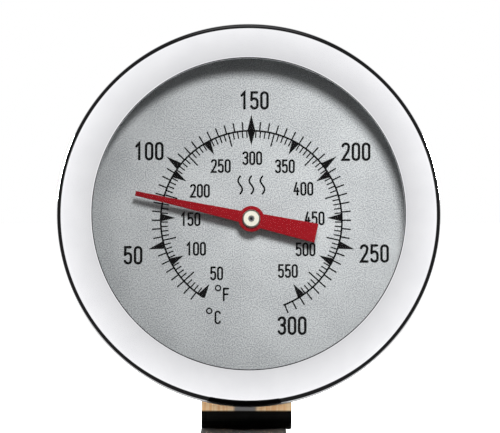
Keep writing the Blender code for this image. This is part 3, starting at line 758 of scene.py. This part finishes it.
def glyphStrokes(sign, w, h):  # a narrow round-ended drawing alphabet; each stroke is (path, closed)
    r = w / 2
    if sign == "0":
        return [(arcPoints(r, h - r, r, 0, 180, 12) + arcPoints(r, r, r, 180, 360, 12), True)]
    if sign == "1":
        return [([(w * 0.10, h * 0.80), (w * 0.55, h), (w * 0.55, 0)], False)]
    if sign == "2":
        top = arcPoints(r, h - r, r, 170, -20, 12)
        return [(top + [(w * 0.88, h * 0.55), (0, 0), (w, 0)], False)]
    if sign == "3":
        upper = arcPoints(r, h - r, r, 165, 0, 10) + [(w, h * 0.66)]
        upper += arcPoints(r * 0.9, h * 0.66, r * 0.9, 0, -80, 6)
        lower = arcPoints(r * 0.8, h * 0.53 - r, r * 1.2, 85, 0, 6) + arcPoints(r, r, r, 0, -165, 10)
        return [(upper[:-1] + [(w * 0.42, h * 0.54)], False), ([(w * 0.42, h * 0.54)] + lower[1:], False)]
    if sign == "4":
        return [([(w * 0.50, h), (0, h * 0.30), (w, h * 0.30)], False),
                ([(w * 0.72, h * 0.55), (w * 0.72, 0)], False)]
    if sign == "5":
        return [([(w * 0.92, h), (w * 0.08, h), (w * 0.04, h * 0.52)], False),
                ([(w * 0.04, h * 0.52)] + arcPoints(r, h * 0.62 - r, r, 130, 0, 8)
                 + arcPoints(r, r, r, 0, -165, 10), False)]
    if sign == "C":
        return [(arcPoints(r, h - r, r, 15, 180, 10) + arcPoints(r, r, r, 180, 345, 10), False)]
    if sign == "F":
        return [([(w, h), (0, h), (0, 0)], False), ([(0, h * 0.52), (w * 0.85, h * 0.52)], False)]
    return [(arcPoints(r, h - r, r, 0, 345, 16), True)]  # the degree ring


lettering = {
    "celsius": {"height": 2.74, "width": 1.05, "pitch": 1.73, "stroke": 0.43},
    "fahrenheit": {"height": 2.04, "width": 0.72, "pitch": 1.17, "stroke": 0.33},
    "unit": {"height": 2.0, "width": 0.78, "pitch": 1.2, "stroke": 0.31},
    "ring": {"height": 0.88, "width": 0.88, "pitch": 1.0, "stroke": 0.24},
}
labels = {  # middle of each number, in mm from the scale's centre
    "celsius": {"50": (-20.1, -5.9), "100": (-17.4, 11.9), "150": (0.5, 20.6), "200": (17.8, 11.8),
                "250": (20.9, -5.6), "300": (6.9, -17.9)},
    "fahrenheit": {"50": (-5.9, -9.0), "100": (-9.4, -4.8), "150": (-10.35, 0.25), "200": (-8.75, 5.1),
                   "250": (-5.2, 9.35), "300": (0.15, 10.7), "350": (5.7, 9.3), "400": (8.85, 5.45),
                   "450": (10.75, 0.4), "500": (9.2, -4.9), "550": (6.2, -8.6)},
    "unit": {"F": (-4.3, -12.6), "C": (-5.7, -16.5)},
}
rings = {"fahrenheit": (-5.65, -11.5), "celsius": (-7.15, -15.4)}


def addLabel(shape, text, style, middle):
    wide = (len(text) - 1) * style["pitch"] + style["width"]
    left = middle[0] - wide / 2
    base = middle[1] - style["height"] / 2
    for k, sign in enumerate(text):
        for path, closed in glyphStrokes(sign, style["width"], style["height"]):
            moved = [(left + k * style["pitch"] + x, base + y) for x, y in path]
            addInkStroke(shape, moved, style["stroke"], closed)


heatMark = {"middle": (0.0, 6.1), "waves": 3, "pitch": 1.9, "height": 3.0, "sway": 0.36, "stroke": 0.30,
            "steps": 16}


def addHeatMark(shape):  # three rising waves, the plain sign for hot air
    m = heatMark
    for k in range(m["waves"]):
        x = m["middle"][0] + (k - (m["waves"] - 1) / 2) * m["pitch"]
        shares = [i / m["steps"] for i in range(m["steps"] + 1)]
        path = [(x + m["sway"] * math.sin(2 * math.pi * up), m["middle"][1] + m["height"] * (up - 0.5))
                for up in shares]
        addInkStroke(shape, path, m["stroke"])


def makeScale():
    shape = bmesh.new()
    start = 90 - (scale["first"] - scale["celsiusTop"]) * scale["celsiusStep"]
    end = 90 - (scale["arcLast"] - scale["celsiusTop"]) * scale["celsiusStep"]
    addInkStroke(shape, arcPoints(0, 0, scale["radius"], start, end, 180), scale["line"])
    tree = makeMarkTree()
    for row in markRows.values():
        addMarkRow(shape, tree, row)
    bpy.data.node_groups.remove(tree)
    for style, numbers in labels.items():
        for text, middle in numbers.items():
            addLabel(shape, text, lettering[style], middle)
    for middle in rings.values():
        addLabel(shape, "o", lettering["ring"], middle)
    addHeatMark(shape)
    piece = finishPiece("dialPrint", shapeToMesh(shape), screenInk,
                        scaleSpace @ Matrix.Translation((0, 0, scale["ink"] / 2 * mm)))
    placePiece(piece, "case", "dial_face")


makeScale()
print("dial and scale made")


# The pointer and its hub.

pointer = {"back": 2.1, "thick": 0.4, "bevel": 0.06, "tip": 0.40, "length": 20.15, "waistAt": 13.4,
           "waist": 0.54, "root": 0.98, "collar": 2.2, "tailRoot": 1.25, "tailEnd": 1.65, "tail": 11.3,
           "hole": 1.05}
hub = {"radius": 1.55, "neck": 0.95, "bore": 0.5, "front": 3.1, "rear": 0.6}


def pointerOutline():
    p = pointer
    needleMeets = math.degrees(math.acos(p["root"] / p["collar"]))
    tailMeets = math.degrees(math.acos(p["tailRoot"] / p["collar"]))
    right = [(p["tip"], p["length"]), (p["waist"], p["waistAt"])]
    right += arcPoints(0, 0, p["collar"], needleMeets, -tailMeets, 32)
    right.append((p["tailEnd"], -p["tail"]))
    return right + [(-x, y) for x, y in reversed(right)]


def addSpline(curve, outline):
    spline = curve.splines.new("POLY")
    spline.points.add(len(outline) - 1)
    for place, (x, y) in zip(spline.points, outline):
        place.co = (x * mm, y * mm, 0, 1)
    spline.use_cyclic_u = True


def makePointer():
    p = pointer
    curve = bpy.data.curves.new("pointerBlank", "CURVE")
    curve.dimensions = "2D"
    curve.fill_mode = "BOTH"
    curve.extrude = (p["thick"] / 2 - p["bevel"]) * mm
    curve.bevel_depth = p["bevel"] * mm
    curve.bevel_resolution = 2
    curve.offset = -p["bevel"] * mm
    addSpline(curve, pointerOutline())
    addSpline(curve, arcPoints(0, 0, p["hole"], 0, 354, 59))
    blank = bpy.data.objects.new("pointerBlank", curve)
    bpy.context.scene.collection.objects.link(blank)
    space = pointerSpace @ Matrix.Translation((0, 0, (p["back"] + p["thick"] / 2) * mm))
    shape = bmesh.new()
    addMesh(shape, evaluatedMesh(blank))
    # the curve's faces come apart from its rim
    bmesh.ops.remove_doubles(shape, verts=shape.verts[:], dist=0.001 * mm)
    bmesh.ops.recalc_face_normals(shape, faces=shape.faces[:])
    piece = finishPiece("pointerBlade", shapeToMesh(shape), redEnamel, space, 40)
    placePiece(piece, "pointer", "pointer_paint", "pointer")


def makeHub():
    h, p = hub, pointer
    collarTop = p["back"] + p["thick"] + 0.1
    collarBottom = p["back"] - 0.1
    outline = softened([(h["bore"], h["front"] - 0.1, 0.05), (h["radius"] - 0.25, h["front"], 0.12),
                        (h["radius"], h["front"] - 0.2, 0.12),
                        (h["radius"], collarTop, 0.1), (h["neck"], collarTop), (h["neck"], collarBottom),
                        (h["radius"], collarBottom, 0.1), (h["radius"], h["rear"], 0.1),
                        (h["bore"], h["rear"])])
    piece = finishPiece("pointerHub", shapeToMesh(turnOutline(outline, 96)), facedAluminium, pointerSpace)
    placePiece(piece, "pointer", "hub_aluminium", "pointer_hub")


makePointer()
makeHub()
print("pointer made")


# The rear case.

case = {"flange": 31.4, "flangeTop": 1.4, "fillet": 0.5, "wall": 29.1, "step": -1.4, "rear": 27.6,
        "back": -8.8, "corner": 2.0, "sheet": 0.6, "ventCircle": 20.5, "ventRadius": 2.6, "ventReach": 2.9,
        "ventAngles": (40, 90, 140, 210, 330), "bushHole": 1.8, "screwHole": 1.1, "rivetHole": 1.25}


def makeRearCase():
    c = case
    path = [(c["flange"], c["flangeTop"])]
    path += arcPoints(c["wall"] + c["fillet"], c["flangeTop"] - c["fillet"], c["fillet"], 90, 180, 8)
    path += [(c["wall"], c["step"]), (c["rear"], c["step"])]
    path += arcPoints(c["rear"] - c["corner"], c["back"] + c["corner"], c["corner"], 0, -90, 12)
    path.append((0, c["back"]))
    blank = shapeToMesh(turnOutline(sheetOutline(path, c["sheet"]), 192))
    cutters = bmesh.new()
    for degrees in c["ventAngles"]:  # a round-ended slot that lies across its radius
        slot = arcPoints(c["ventCircle"], c["ventReach"], c["ventRadius"], 0, 180, 20)
        slot += arcPoints(c["ventCircle"], -c["ventReach"], c["ventRadius"], 180, 360, 20)
        spin = Matrix.Rotation(math.radians(degrees), 2)
        addPrism(cutters, [spin @ Vector(point) for point in slot], (c["back"] + 2) * mm,
                 (c["back"] - 2) * mm)
    addRod(cutters, spindlePlace.x / mm, spindlePlace.y / mm, c["back"] - 2, c["back"] + 2, c["bushHole"], 40)
    for x in (spindlePlace.x / mm - screws["x"], spindlePlace.x / mm + screws["x"]):
        addRod(cutters, x, spindlePlace.y / mm, c["back"] - 2, c["back"] + 2, c["screwHole"], 40)
    for node in ("stand_rivet_upper", "stand_rivet_lower"):
        place = rivetPlace(node)
        addRod(cutters, place.x / mm, place.y / mm, c["back"] - 2, c["back"] + 2, c["rivetHole"], 40)
    piece = finishPiece("rearCase", cutBy(blank, cutters), drawnStainless, headSpace)
    placePiece(piece, "case", "case_steel", "rear_case")


# Screws and rivets.

screws = {"x": 16.2, "shank": 0.9, "head": 1.9, "under": -9.1, "rise": 1.2, "end": -6.4, "slot": 0.25,
          "slotDepth": 0.5}
rivets = {"shank": 1.1, "head": 2.2, "rise": 1.0, "under": -9.95, "inside": -7.9, "clench": 1.8,
          "clenchTop": 1.4, "clenchRise": 0.5, "clenchEdge": 0.2}


def rivetPlace(node):
    return headSpace.inverted() @ middleOf(node)


def makeScrews():
    s = screws
    for side, label in ((-1, "left"), (1, "right")):
        x, y = spindlePlace.x / mm + side * s["x"], spindlePlace.y / mm
        top = s["under"] - s["rise"]
        outline = softened([(0, s["end"]), (s["shank"], s["end"], 0.15), (s["shank"], s["under"]),
                            (s["head"], s["under"], 0.12),
                            (s["head"], s["under"] - 0.5, 0.3), (s["head"] - 0.9, top, 0.6), (0, top)])
        blank = shapeToMesh(turnOutline(outline, 64))
        slot = bmesh.new()
        addBlock(slot, (-3, -s["slot"], top - 1), (3, s["slot"], top + s["slotDepth"]))
        space = headSpace @ Matrix.Translation((x * mm, y * mm, 0))
        piece = finishPiece("bridgeScrew" + label.title(), cutBy(blank, slot), zincPlate, space)
        placePiece(piece, "case", "zinc_steel", "bridge_screw_" + label)


def makeRivets():
    r = rivets
    for label in ("upper", "lower"):
        place = rivetPlace("stand_rivet_" + label)
        outline = [(0, r["inside"] + r["clenchRise"]), (r["clenchTop"], r["inside"] + r["clenchRise"]),
                   (r["clench"], r["inside"] + r["clenchEdge"]), (r["clench"], r["inside"]),
                   (r["shank"], r["inside"]), (r["shank"], r["under"])]
        outline += [(r["head"] * math.cos(turn), r["under"] - r["rise"] * math.sin(turn))
                    for turn in (math.pi / 2 * i / 14 for i in range(14))]
        outline.append((0, r["under"] - r["rise"]))
        space = headSpace @ Matrix.Translation((place.x, place.y, 0))
        piece = finishPiece("standRivet" + label.title(), shapeToMesh(turnOutline(outline, 64)),
                            drawnStainless, space)
        placePiece(piece, "case", "rivet_steel", "stand_rivet_" + label)


makeRearCase()
makeScrews()
makeRivets()
print("case and fasteners made")


# The bimetal coil.

coil = {"front": -3.7, "width": 2.9, "thick": 0.3, "inner": 2.55, "outer": 9.6, "turns": 5.5, "perTurn": 48,
        "tab": 1.25, "post": 1.6}


def makeCoilTree():  # a strip on edge that winds out from the collet to the anchor post
    tree = bpy.data.node_groups.new("coilStrip", "GeometryNodeTree")
    for name, kind in (("Points", "NodeSocketInt"), ("Inner", "NodeSocketFloat"),
                       ("Outer", "NodeSocketFloat"),
                       ("Turns", "NodeSocketFloat"), ("Width", "NodeSocketFloat"),
                       ("Thickness", "NodeSocketFloat"),
                       ("Surface", "NodeSocketMaterial")):
        tree.interface.new_socket(name, in_out="INPUT", socket_type=kind)
    tree.interface.new_socket("Strip", in_out="OUTPUT", socket_type="NodeSocketGeometry")
    given = addNode(tree, "NodeGroupInput").outputs
    line = addNode(tree, "GeometryNodeCurvePrimitiveLine")
    points = addNode(tree, "GeometryNodeResampleCurve",
                     links={"Curve": line.outputs[0], "Count": given["Points"]})
    along = addNode(tree, "GeometryNodeSplineParameter")
    sweep = addNode(tree, "ShaderNodeMath", {"operation": "MULTIPLY", 1: 2 * math.pi}, {0: given["Turns"]})
    turn = addNode(tree, "ShaderNodeMath", {"operation": "MULTIPLY_ADD", 2: math.pi},
                   {0: along.outputs[0], 1: sweep.outputs[0]})
    radius = addNode(tree, "ShaderNodeMapRange",
                     links={"Value": along.outputs[0], "To Min": given["Inner"], "To Max": given["Outer"]})
    across = addNode(tree, "ShaderNodeMath", {"operation": "COSINE"}, {0: turn.outputs[0]})
    up = addNode(tree, "ShaderNodeMath", {"operation": "SINE"}, {0: turn.outputs[0]})
    outward = addNode(tree, "ShaderNodeCombineXYZ", links={0: across.outputs[0], 1: up.outputs[0]})
    placed = addNode(tree, "ShaderNodeVectorMath", {"operation": "SCALE"},
                     {0: outward.outputs[0], "Scale": radius.outputs[0]})
    wound = addNode(tree, "GeometryNodeSetPosition",
                    links={"Geometry": points.outputs[0], "Position": placed.outputs[0]})
    flat = addNode(tree, "GeometryNodeSetCurveNormal", {"mode": "Z_UP"}, {"Curve": wound.outputs[0]})
    section = addNode(tree, "GeometryNodeCurvePrimitiveQuadrilateral",
                      links={"Width": given["Thickness"], "Height": given["Width"]})
    strip = addNode(tree, "GeometryNodeCurveToMesh", {"Fill Caps": True},
                    {"Curve": flat.outputs[0], "Profile Curve": section.outputs[0]})
    real = addNode(tree, "GeometryNodeRealizeInstances", links={"Geometry": strip.outputs[0]})
    coated = addNode(tree, "GeometryNodeSetMaterial",
                     links={"Geometry": real.outputs[0], "Material": given["Surface"]})
    addNode(tree, "NodeGroupOutput", links={0: coated.outputs[0]})
    return tree


def makeCoil():
    c = coil
    tree = makeCoilTree()
    mesh = growMesh(tree, {"Points": int(c["turns"] * c["perTurn"]) + 1, "Inner": c["inner"] * mm,
                           "Outer": c["outer"] * mm, "Turns": c["turns"], "Width": c["width"] * mm,
                           "Thickness": c["thick"] * mm, "Surface": rolledBimetal})
    bpy.data.node_groups.remove(tree)
    shape = bmesh.new()
    middle = c["front"] - c["width"] / 2
    shape.from_mesh(mesh)
    bmesh.ops.translate(shape, verts=shape.verts[:], vec=(0, 0, middle * mm))
    half = c["thick"] / 2
    low, high = middle - c["width"] / 2, middle + c["width"] / 2
    addBlock(shape, (-c["inner"], -half, low), (-c["tab"], half, high))
    addBlock(shape, (c["outer"] - half, 0, low), (c["outer"] + half, c["post"], high))
    bpy.data.meshes.remove(mesh)
    piece = finishPiece("bimetalCoil", shapeToMesh(shape), rolledBimetal, spindleSpace)
    placePiece(piece, "case", "bimetal_strip", "bimetal_coil")


makeCoil()
print("coil made")


# The stand.

stand = {"width": 15.4, "thick": 0.7, "topAt": -7.5, "heelBend": 2.6, "footStep": 1.0, "stepHeight": 0.5,
         "corner": 0.35, "edge": 0.06, "gap": 0.3}


# the strip's middle line in world y and z, in mm: down the case's back, round the heel and forward
def standRows():
    s = stand
    onFloor = s["thick"] / 2
    behind = case["back"] - s["gap"] - s["thick"] / 2
    corner = headSpace @ Vector((0, s["topAt"] * mm, behind * mm)) / mm
    top = Vector((corner.y, corner.z))
    heel = Vector((top.x - (top.y - onFloor) * math.tan(lean), onFloor))
    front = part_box("stand_bracket")[0][1] / mm
    half = math.pi / 4 + lean / 2  # half the angle between the back and the foot
    down = (heel - top).normalized()
    start = heel - down * s["heelBend"] / math.tan(half)
    middle = start + Vector((down.y, -down.x)) * s["heelBend"]
    turn = 2 * half - math.pi
    rows = [top + (start - top) * i / 24 for i in range(24)]
    rows += [middle + Matrix.Rotation(turn * i / 24, 2) @ (start - middle) for i in range(25)]
    last = rows[-1]
    rows += [Vector((last.x + (front - last.x) * i / 16, onFloor)) for i in range(1, 17)]
    return rows, heel.x


# the step at the foot's right, with a rounded corner, then the rivet holes, one cut each
def standCutters(left, heel):
    s = stand
    right = left + s["width"]
    side, outside, r = right - s["footStep"], right + 2, s["corner"]
    outline = [(side, -2), (outside, -2), (outside, s["stepHeight"] + r)]
    outline += arcPoints(right - r, s["stepHeight"] + r, r, 0, -90, 6) + [(side, s["stepHeight"])]
    heelStep = bmesh.new()
    addPrism(heelStep, [Vector(point) for point in outline], 0, -(heel + 2) * mm)
    bmesh.ops.rotate(heelStep, verts=heelStep.verts[:], matrix=Matrix.Rotation(math.pi / 2, 3, "X"))
    footStep = bmesh.new()
    addBlock(footStep, (side, -20, -1), (outside, heel - s["heelBend"] / 2, 2))
    holes = bmesh.new()
    for node in ("stand_rivet_upper", "stand_rivet_lower"):
        place = rivetPlace(node) / mm
        addRod(holes, place.x, place.y, case["back"] - 3, case["back"] + 1, case["rivetHole"], 40)
    bmesh.ops.transform(holes, verts=holes.verts[:], matrix=headSpace)
    for cutter in (heelStep, footStep, holes):
        bmesh.ops.recalc_face_normals(cutter, faces=cutter.faces[:])
    return heelStep, footStep, holes


def makeStand():
    s = stand
    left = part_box("stand_bracket")[0][0] / mm
    rows, heel = standRows()
    middles = [Vector(row) for row in rows]
    section = offsetPath(middles, s["thick"] / 2) + offsetPath(middles, -s["thick"] / 2)[::-1]
    shape = bmesh.new()
    sides = [[shape.verts.new(Vector((x, point.x, point.y)) * mm) for point in section]
             for x in (left, left + s["width"])]
    count, half = len(section), len(rows)
    for k in range(count):
        n = (k + 1) % count
        shape.faces.new((sides[0][k], sides[0][n], sides[1][n], sides[1][k]))
    for edge in sides:  # the strip's long edges, closed row by row
        for k in range(half - 1):
            shape.faces.new((edge[k], edge[k + 1], edge[count - 2 - k], edge[count - 1 - k]))
    bmesh.ops.recalc_face_normals(shape, faces=shape.faces[:])
    mesh = shapeToMesh(shape)
    for cutter in standCutters(left, heel):
        mesh = cutBy(mesh, cutter)
    blank = bpy.data.objects.new("standBlank", mesh)
    bpy.context.scene.collection.objects.link(blank)
    rounded = blank.modifiers.new("edges", "BEVEL")
    rounded.width = s["edge"] * mm
    rounded.segments = 2
    rounded.limit_method = "ANGLE"
    rounded.angle_limit = math.radians(60)
    piece = finishPiece("standBracket", evaluatedMesh(blank), stainlessWithPaintedReflections, Matrix.Identity(4))
    placePiece(piece, "case", "stand_steel", "stand_bracket")


makeStand()
print("stand made")


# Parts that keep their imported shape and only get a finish.

kept = {"glass_gasket": mouldedSilicone, "movement_bridge": zincPlate, "front_bush": turnedBrass,
        "rear_bush": turnedBrass, "coil_anchor_post": turnedBrass, "spindle": groundSteel,
        "spindle_collar": turnedBrass, "coil_collet": turnedBrass}
for node, surface in kept.items():
    slots = frame["nodes"][node].material_slots
    for slot in slots:
        slot.material = surface


# Stage, light and camera.

# metres from the point looked at, the width in mm that the frame takes in there, the shift as shares of
# that width, and the point's height in front of the dial in mm
view = {"distance": 0.95, "widthMm": 84.674, "shift": (0.0026, -0.004), "height": 3.6}


def addCamera():
    lens = bpy.data.cameras.new("camera")
    lens.sensor_width = 36.0
    lens.lens = view["distance"] / mm * lens.sensor_width / view["widthMm"]
    lens.clip_start = 0.05
    target = headSpace @ Vector((0, 0, view["height"] * mm))
    camera = bpy.data.objects.new("camera", lens)
    bpy.context.scene.collection.objects.link(camera)
    camera.location = target + Vector((0, -view["distance"], 0))
    camera.rotation_euler = (math.pi / 2, 0, 0)
    lens.shift_x, lens.shift_y = view["shift"]
    bpy.context.scene.camera = camera


floor = {"size": 40.0, "colour": "#F4F4F4", "drop": 0.00005}


def addFloor():
    shape = bmesh.new()
    bmesh.ops.create_grid(shape, x_segments=1, y_segments=1, size=floor["size"] / 2)
    mesh = shapeToMesh(shape)
    surface, tree, shader = newSurface("paleFloor")
    shader.inputs["Base Color"].default_value = linear(floor["colour"])
    shader.inputs["Roughness"].default_value = 0.9
    shader.inputs["Emission Color"].default_value = linear("#FFFFFF")
    shader.inputs["Emission Strength"].default_value = 1.0
    mesh.materials.append(surface)
    ground = bpy.data.objects.new("floor", mesh)
    ground.location.z = -floor["drop"]
    bpy.context.scene.collection.objects.link(ground)
    ground.visible_glossy = False
    ground.visible_diffuse = False


tent = {"lift": 12.0, "inner": 1.0, "outer": 1.4, "spread": 26.0, "topEdge": 42.0, "bottomEdge": -35.0,
        "sideEdge": 52.0, "soft": 0.05, "dark": 0.02, "rear": 0.9, "rearFrom": 0.6, "rearTo": 0.8,
        "overhead": 0.12, "overheadFrom": 0.93, "diffuse": 0.05}


def addTent():  # white in front, dark round it and pale behind; the camera itself sees plain white
    t = tent
    world = bpy.data.worlds.new("studioTent")
    world.use_nodes = True
    tree = world.node_tree
    tree.nodes.clear()
    way = addNode(tree, "ShaderNodeTexCoord").outputs["Generated"]
    parts = addNode(tree, "ShaderNodeSeparateXYZ", links={0: way})
    lift = math.radians(t["lift"])
    aim = addNode(tree, "ShaderNodeVectorMath",
                  {"operation": "DOT_PRODUCT", 1: (0, -math.cos(lift), math.sin(lift))}, {0: way})
    angle = addNode(tree, "ShaderNodeMath", {"operation": "ARCCOSINE"}, {0: aim.outputs["Value"]})
    white = addNode(tree, "ShaderNodeMapRange",
                    {"From Max": math.radians(t["spread"]), "To Min": t["inner"], "To Max": t["outer"]},
                    {"Value": angle.outputs[0]})
    share = None
    for axis, edge, sign in ((2, math.sin(math.radians(t["topEdge"])), 1),
                             (2, math.sin(math.radians(t["bottomEdge"])), -1),
                             (1, -math.cos(math.radians(t["sideEdge"])), 1)):
        limit = addNode(tree, "ShaderNodeMapRange",
                        {"From Min": edge - sign * t["soft"], "From Max": edge + sign * t["soft"],
                         "To Min": 1.0, "To Max": 0.0},
                        {"Value": parts.outputs[axis]})
        share = limit if share is None else addNode(tree, "ShaderNodeMath", {"operation": "MULTIPLY"},
                                                    {0: share.outputs[0], 1: limit.outputs[0]})
    rear = addNode(tree, "ShaderNodeMapRange",
                   {"From Min": t["rearFrom"], "From Max": t["rearTo"], "To Min": t["dark"],
                    "To Max": t["rear"]},
                   {"Value": parts.outputs[1]})
    above = addNode(tree, "ShaderNodeMapRange",
                    {"From Min": t["overheadFrom"], "To Min": t["dark"], "To Max": t["overhead"]},
                    {"Value": parts.outputs[2]})
    around = addNode(tree, "ShaderNodeMath", {"operation": "MAXIMUM"},
                     {0: rear.outputs[0], 1: above.outputs[0]})
    level = addNode(tree, "ShaderNodeMix", {"data_type": "FLOAT"},
                    {0: share.outputs[0], 2: around.outputs[0], 3: white.outputs[0]})
    rays = addNode(tree, "ShaderNodeLightPath")
    soften = addNode(tree, "ShaderNodeMapRange", {"To Min": 1.0, "To Max": t["diffuse"]},
                     {"Value": rays.outputs["Is Diffuse Ray"]})
    given = addNode(tree, "ShaderNodeMath", {"operation": "MULTIPLY"},
                    {0: level.outputs[0], 1: soften.outputs[0]})
    seen = addNode(tree, "ShaderNodeMix", {"data_type": "FLOAT", 3: 1.0},
                   {0: rays.outputs["Is Camera Ray"], 2: given.outputs[0]})
    glow = addNode(tree, "ShaderNodeBackground", {"Color": linear("#FFFFFF")}, {"Strength": seen.outputs[0]})
    addNode(tree, "ShaderNodeOutputWorld", links={"Surface": glow.outputs[0]})
    bpy.context.scene.world = world


# direction from the dial's middle, distance and size in metres, and strength; the key is a snooted spot
# aimed to one side, and only the two cheeks show in the metals
lamps = {
    "keyLamp": {"kind": "SPOT", "towards": (0.175, -0.942, 0.575), "aside": 0.015, "distance": 0.22,
                "size": 0.07, "cone": 35.0, "watts": 3.75, "inMetals": False},
    "rearFill": {"kind": "AREA", "towards": (-0.45, 0.75, 0.5), "aside": 0.0, "distance": 0.6, "size": 0.30,
                 "watts": 2.0, "inMetals": False},
    "leftCheek": {"kind": "AREA", "towards": (-0.55, 0.82, 0.16), "aside": 0.0, "distance": 0.5, "size": 0.10,
                  "watts": 2.6, "inMetals": True},
    "rightCheek": {"kind": "AREA", "towards": (0.55, 0.82, 0.16), "aside": 0.0, "distance": 0.5, "size": 0.10,
                   "watts": 2.6, "inMetals": True},
}


def addLamps():
    middle = headSpace.translation
    for name, look in lamps.items():
        light = bpy.data.lights.new(name, look["kind"])
        light.energy = look["watts"]
        if look["kind"] == "SPOT":
            light.shadow_soft_size = look["size"] / 2
            light.spot_size = math.radians(look["cone"])
            light.spot_blend = 1.0
        else:
            light.shape = "DISK"
            light.size = look["size"]
        lamp = bpy.data.objects.new(name, light)
        lamp.location = middle + Vector(look["towards"]).normalized() * look["distance"]
        away = lamp.location - middle - Vector((look["aside"], 0, 0))
        lamp.rotation_euler = away.to_track_quat("Z", "Y").to_euler()
        lamp.visible_glossy = look["inMetals"]
        lamp.visible_camera = False
        bpy.context.scene.collection.objects.link(lamp)


addCamera()
addFloor()
addTent()
addLamps()
bpy.context.scene.view_settings.view_transform = "Standard"
print("stage, lamps and camera placed")
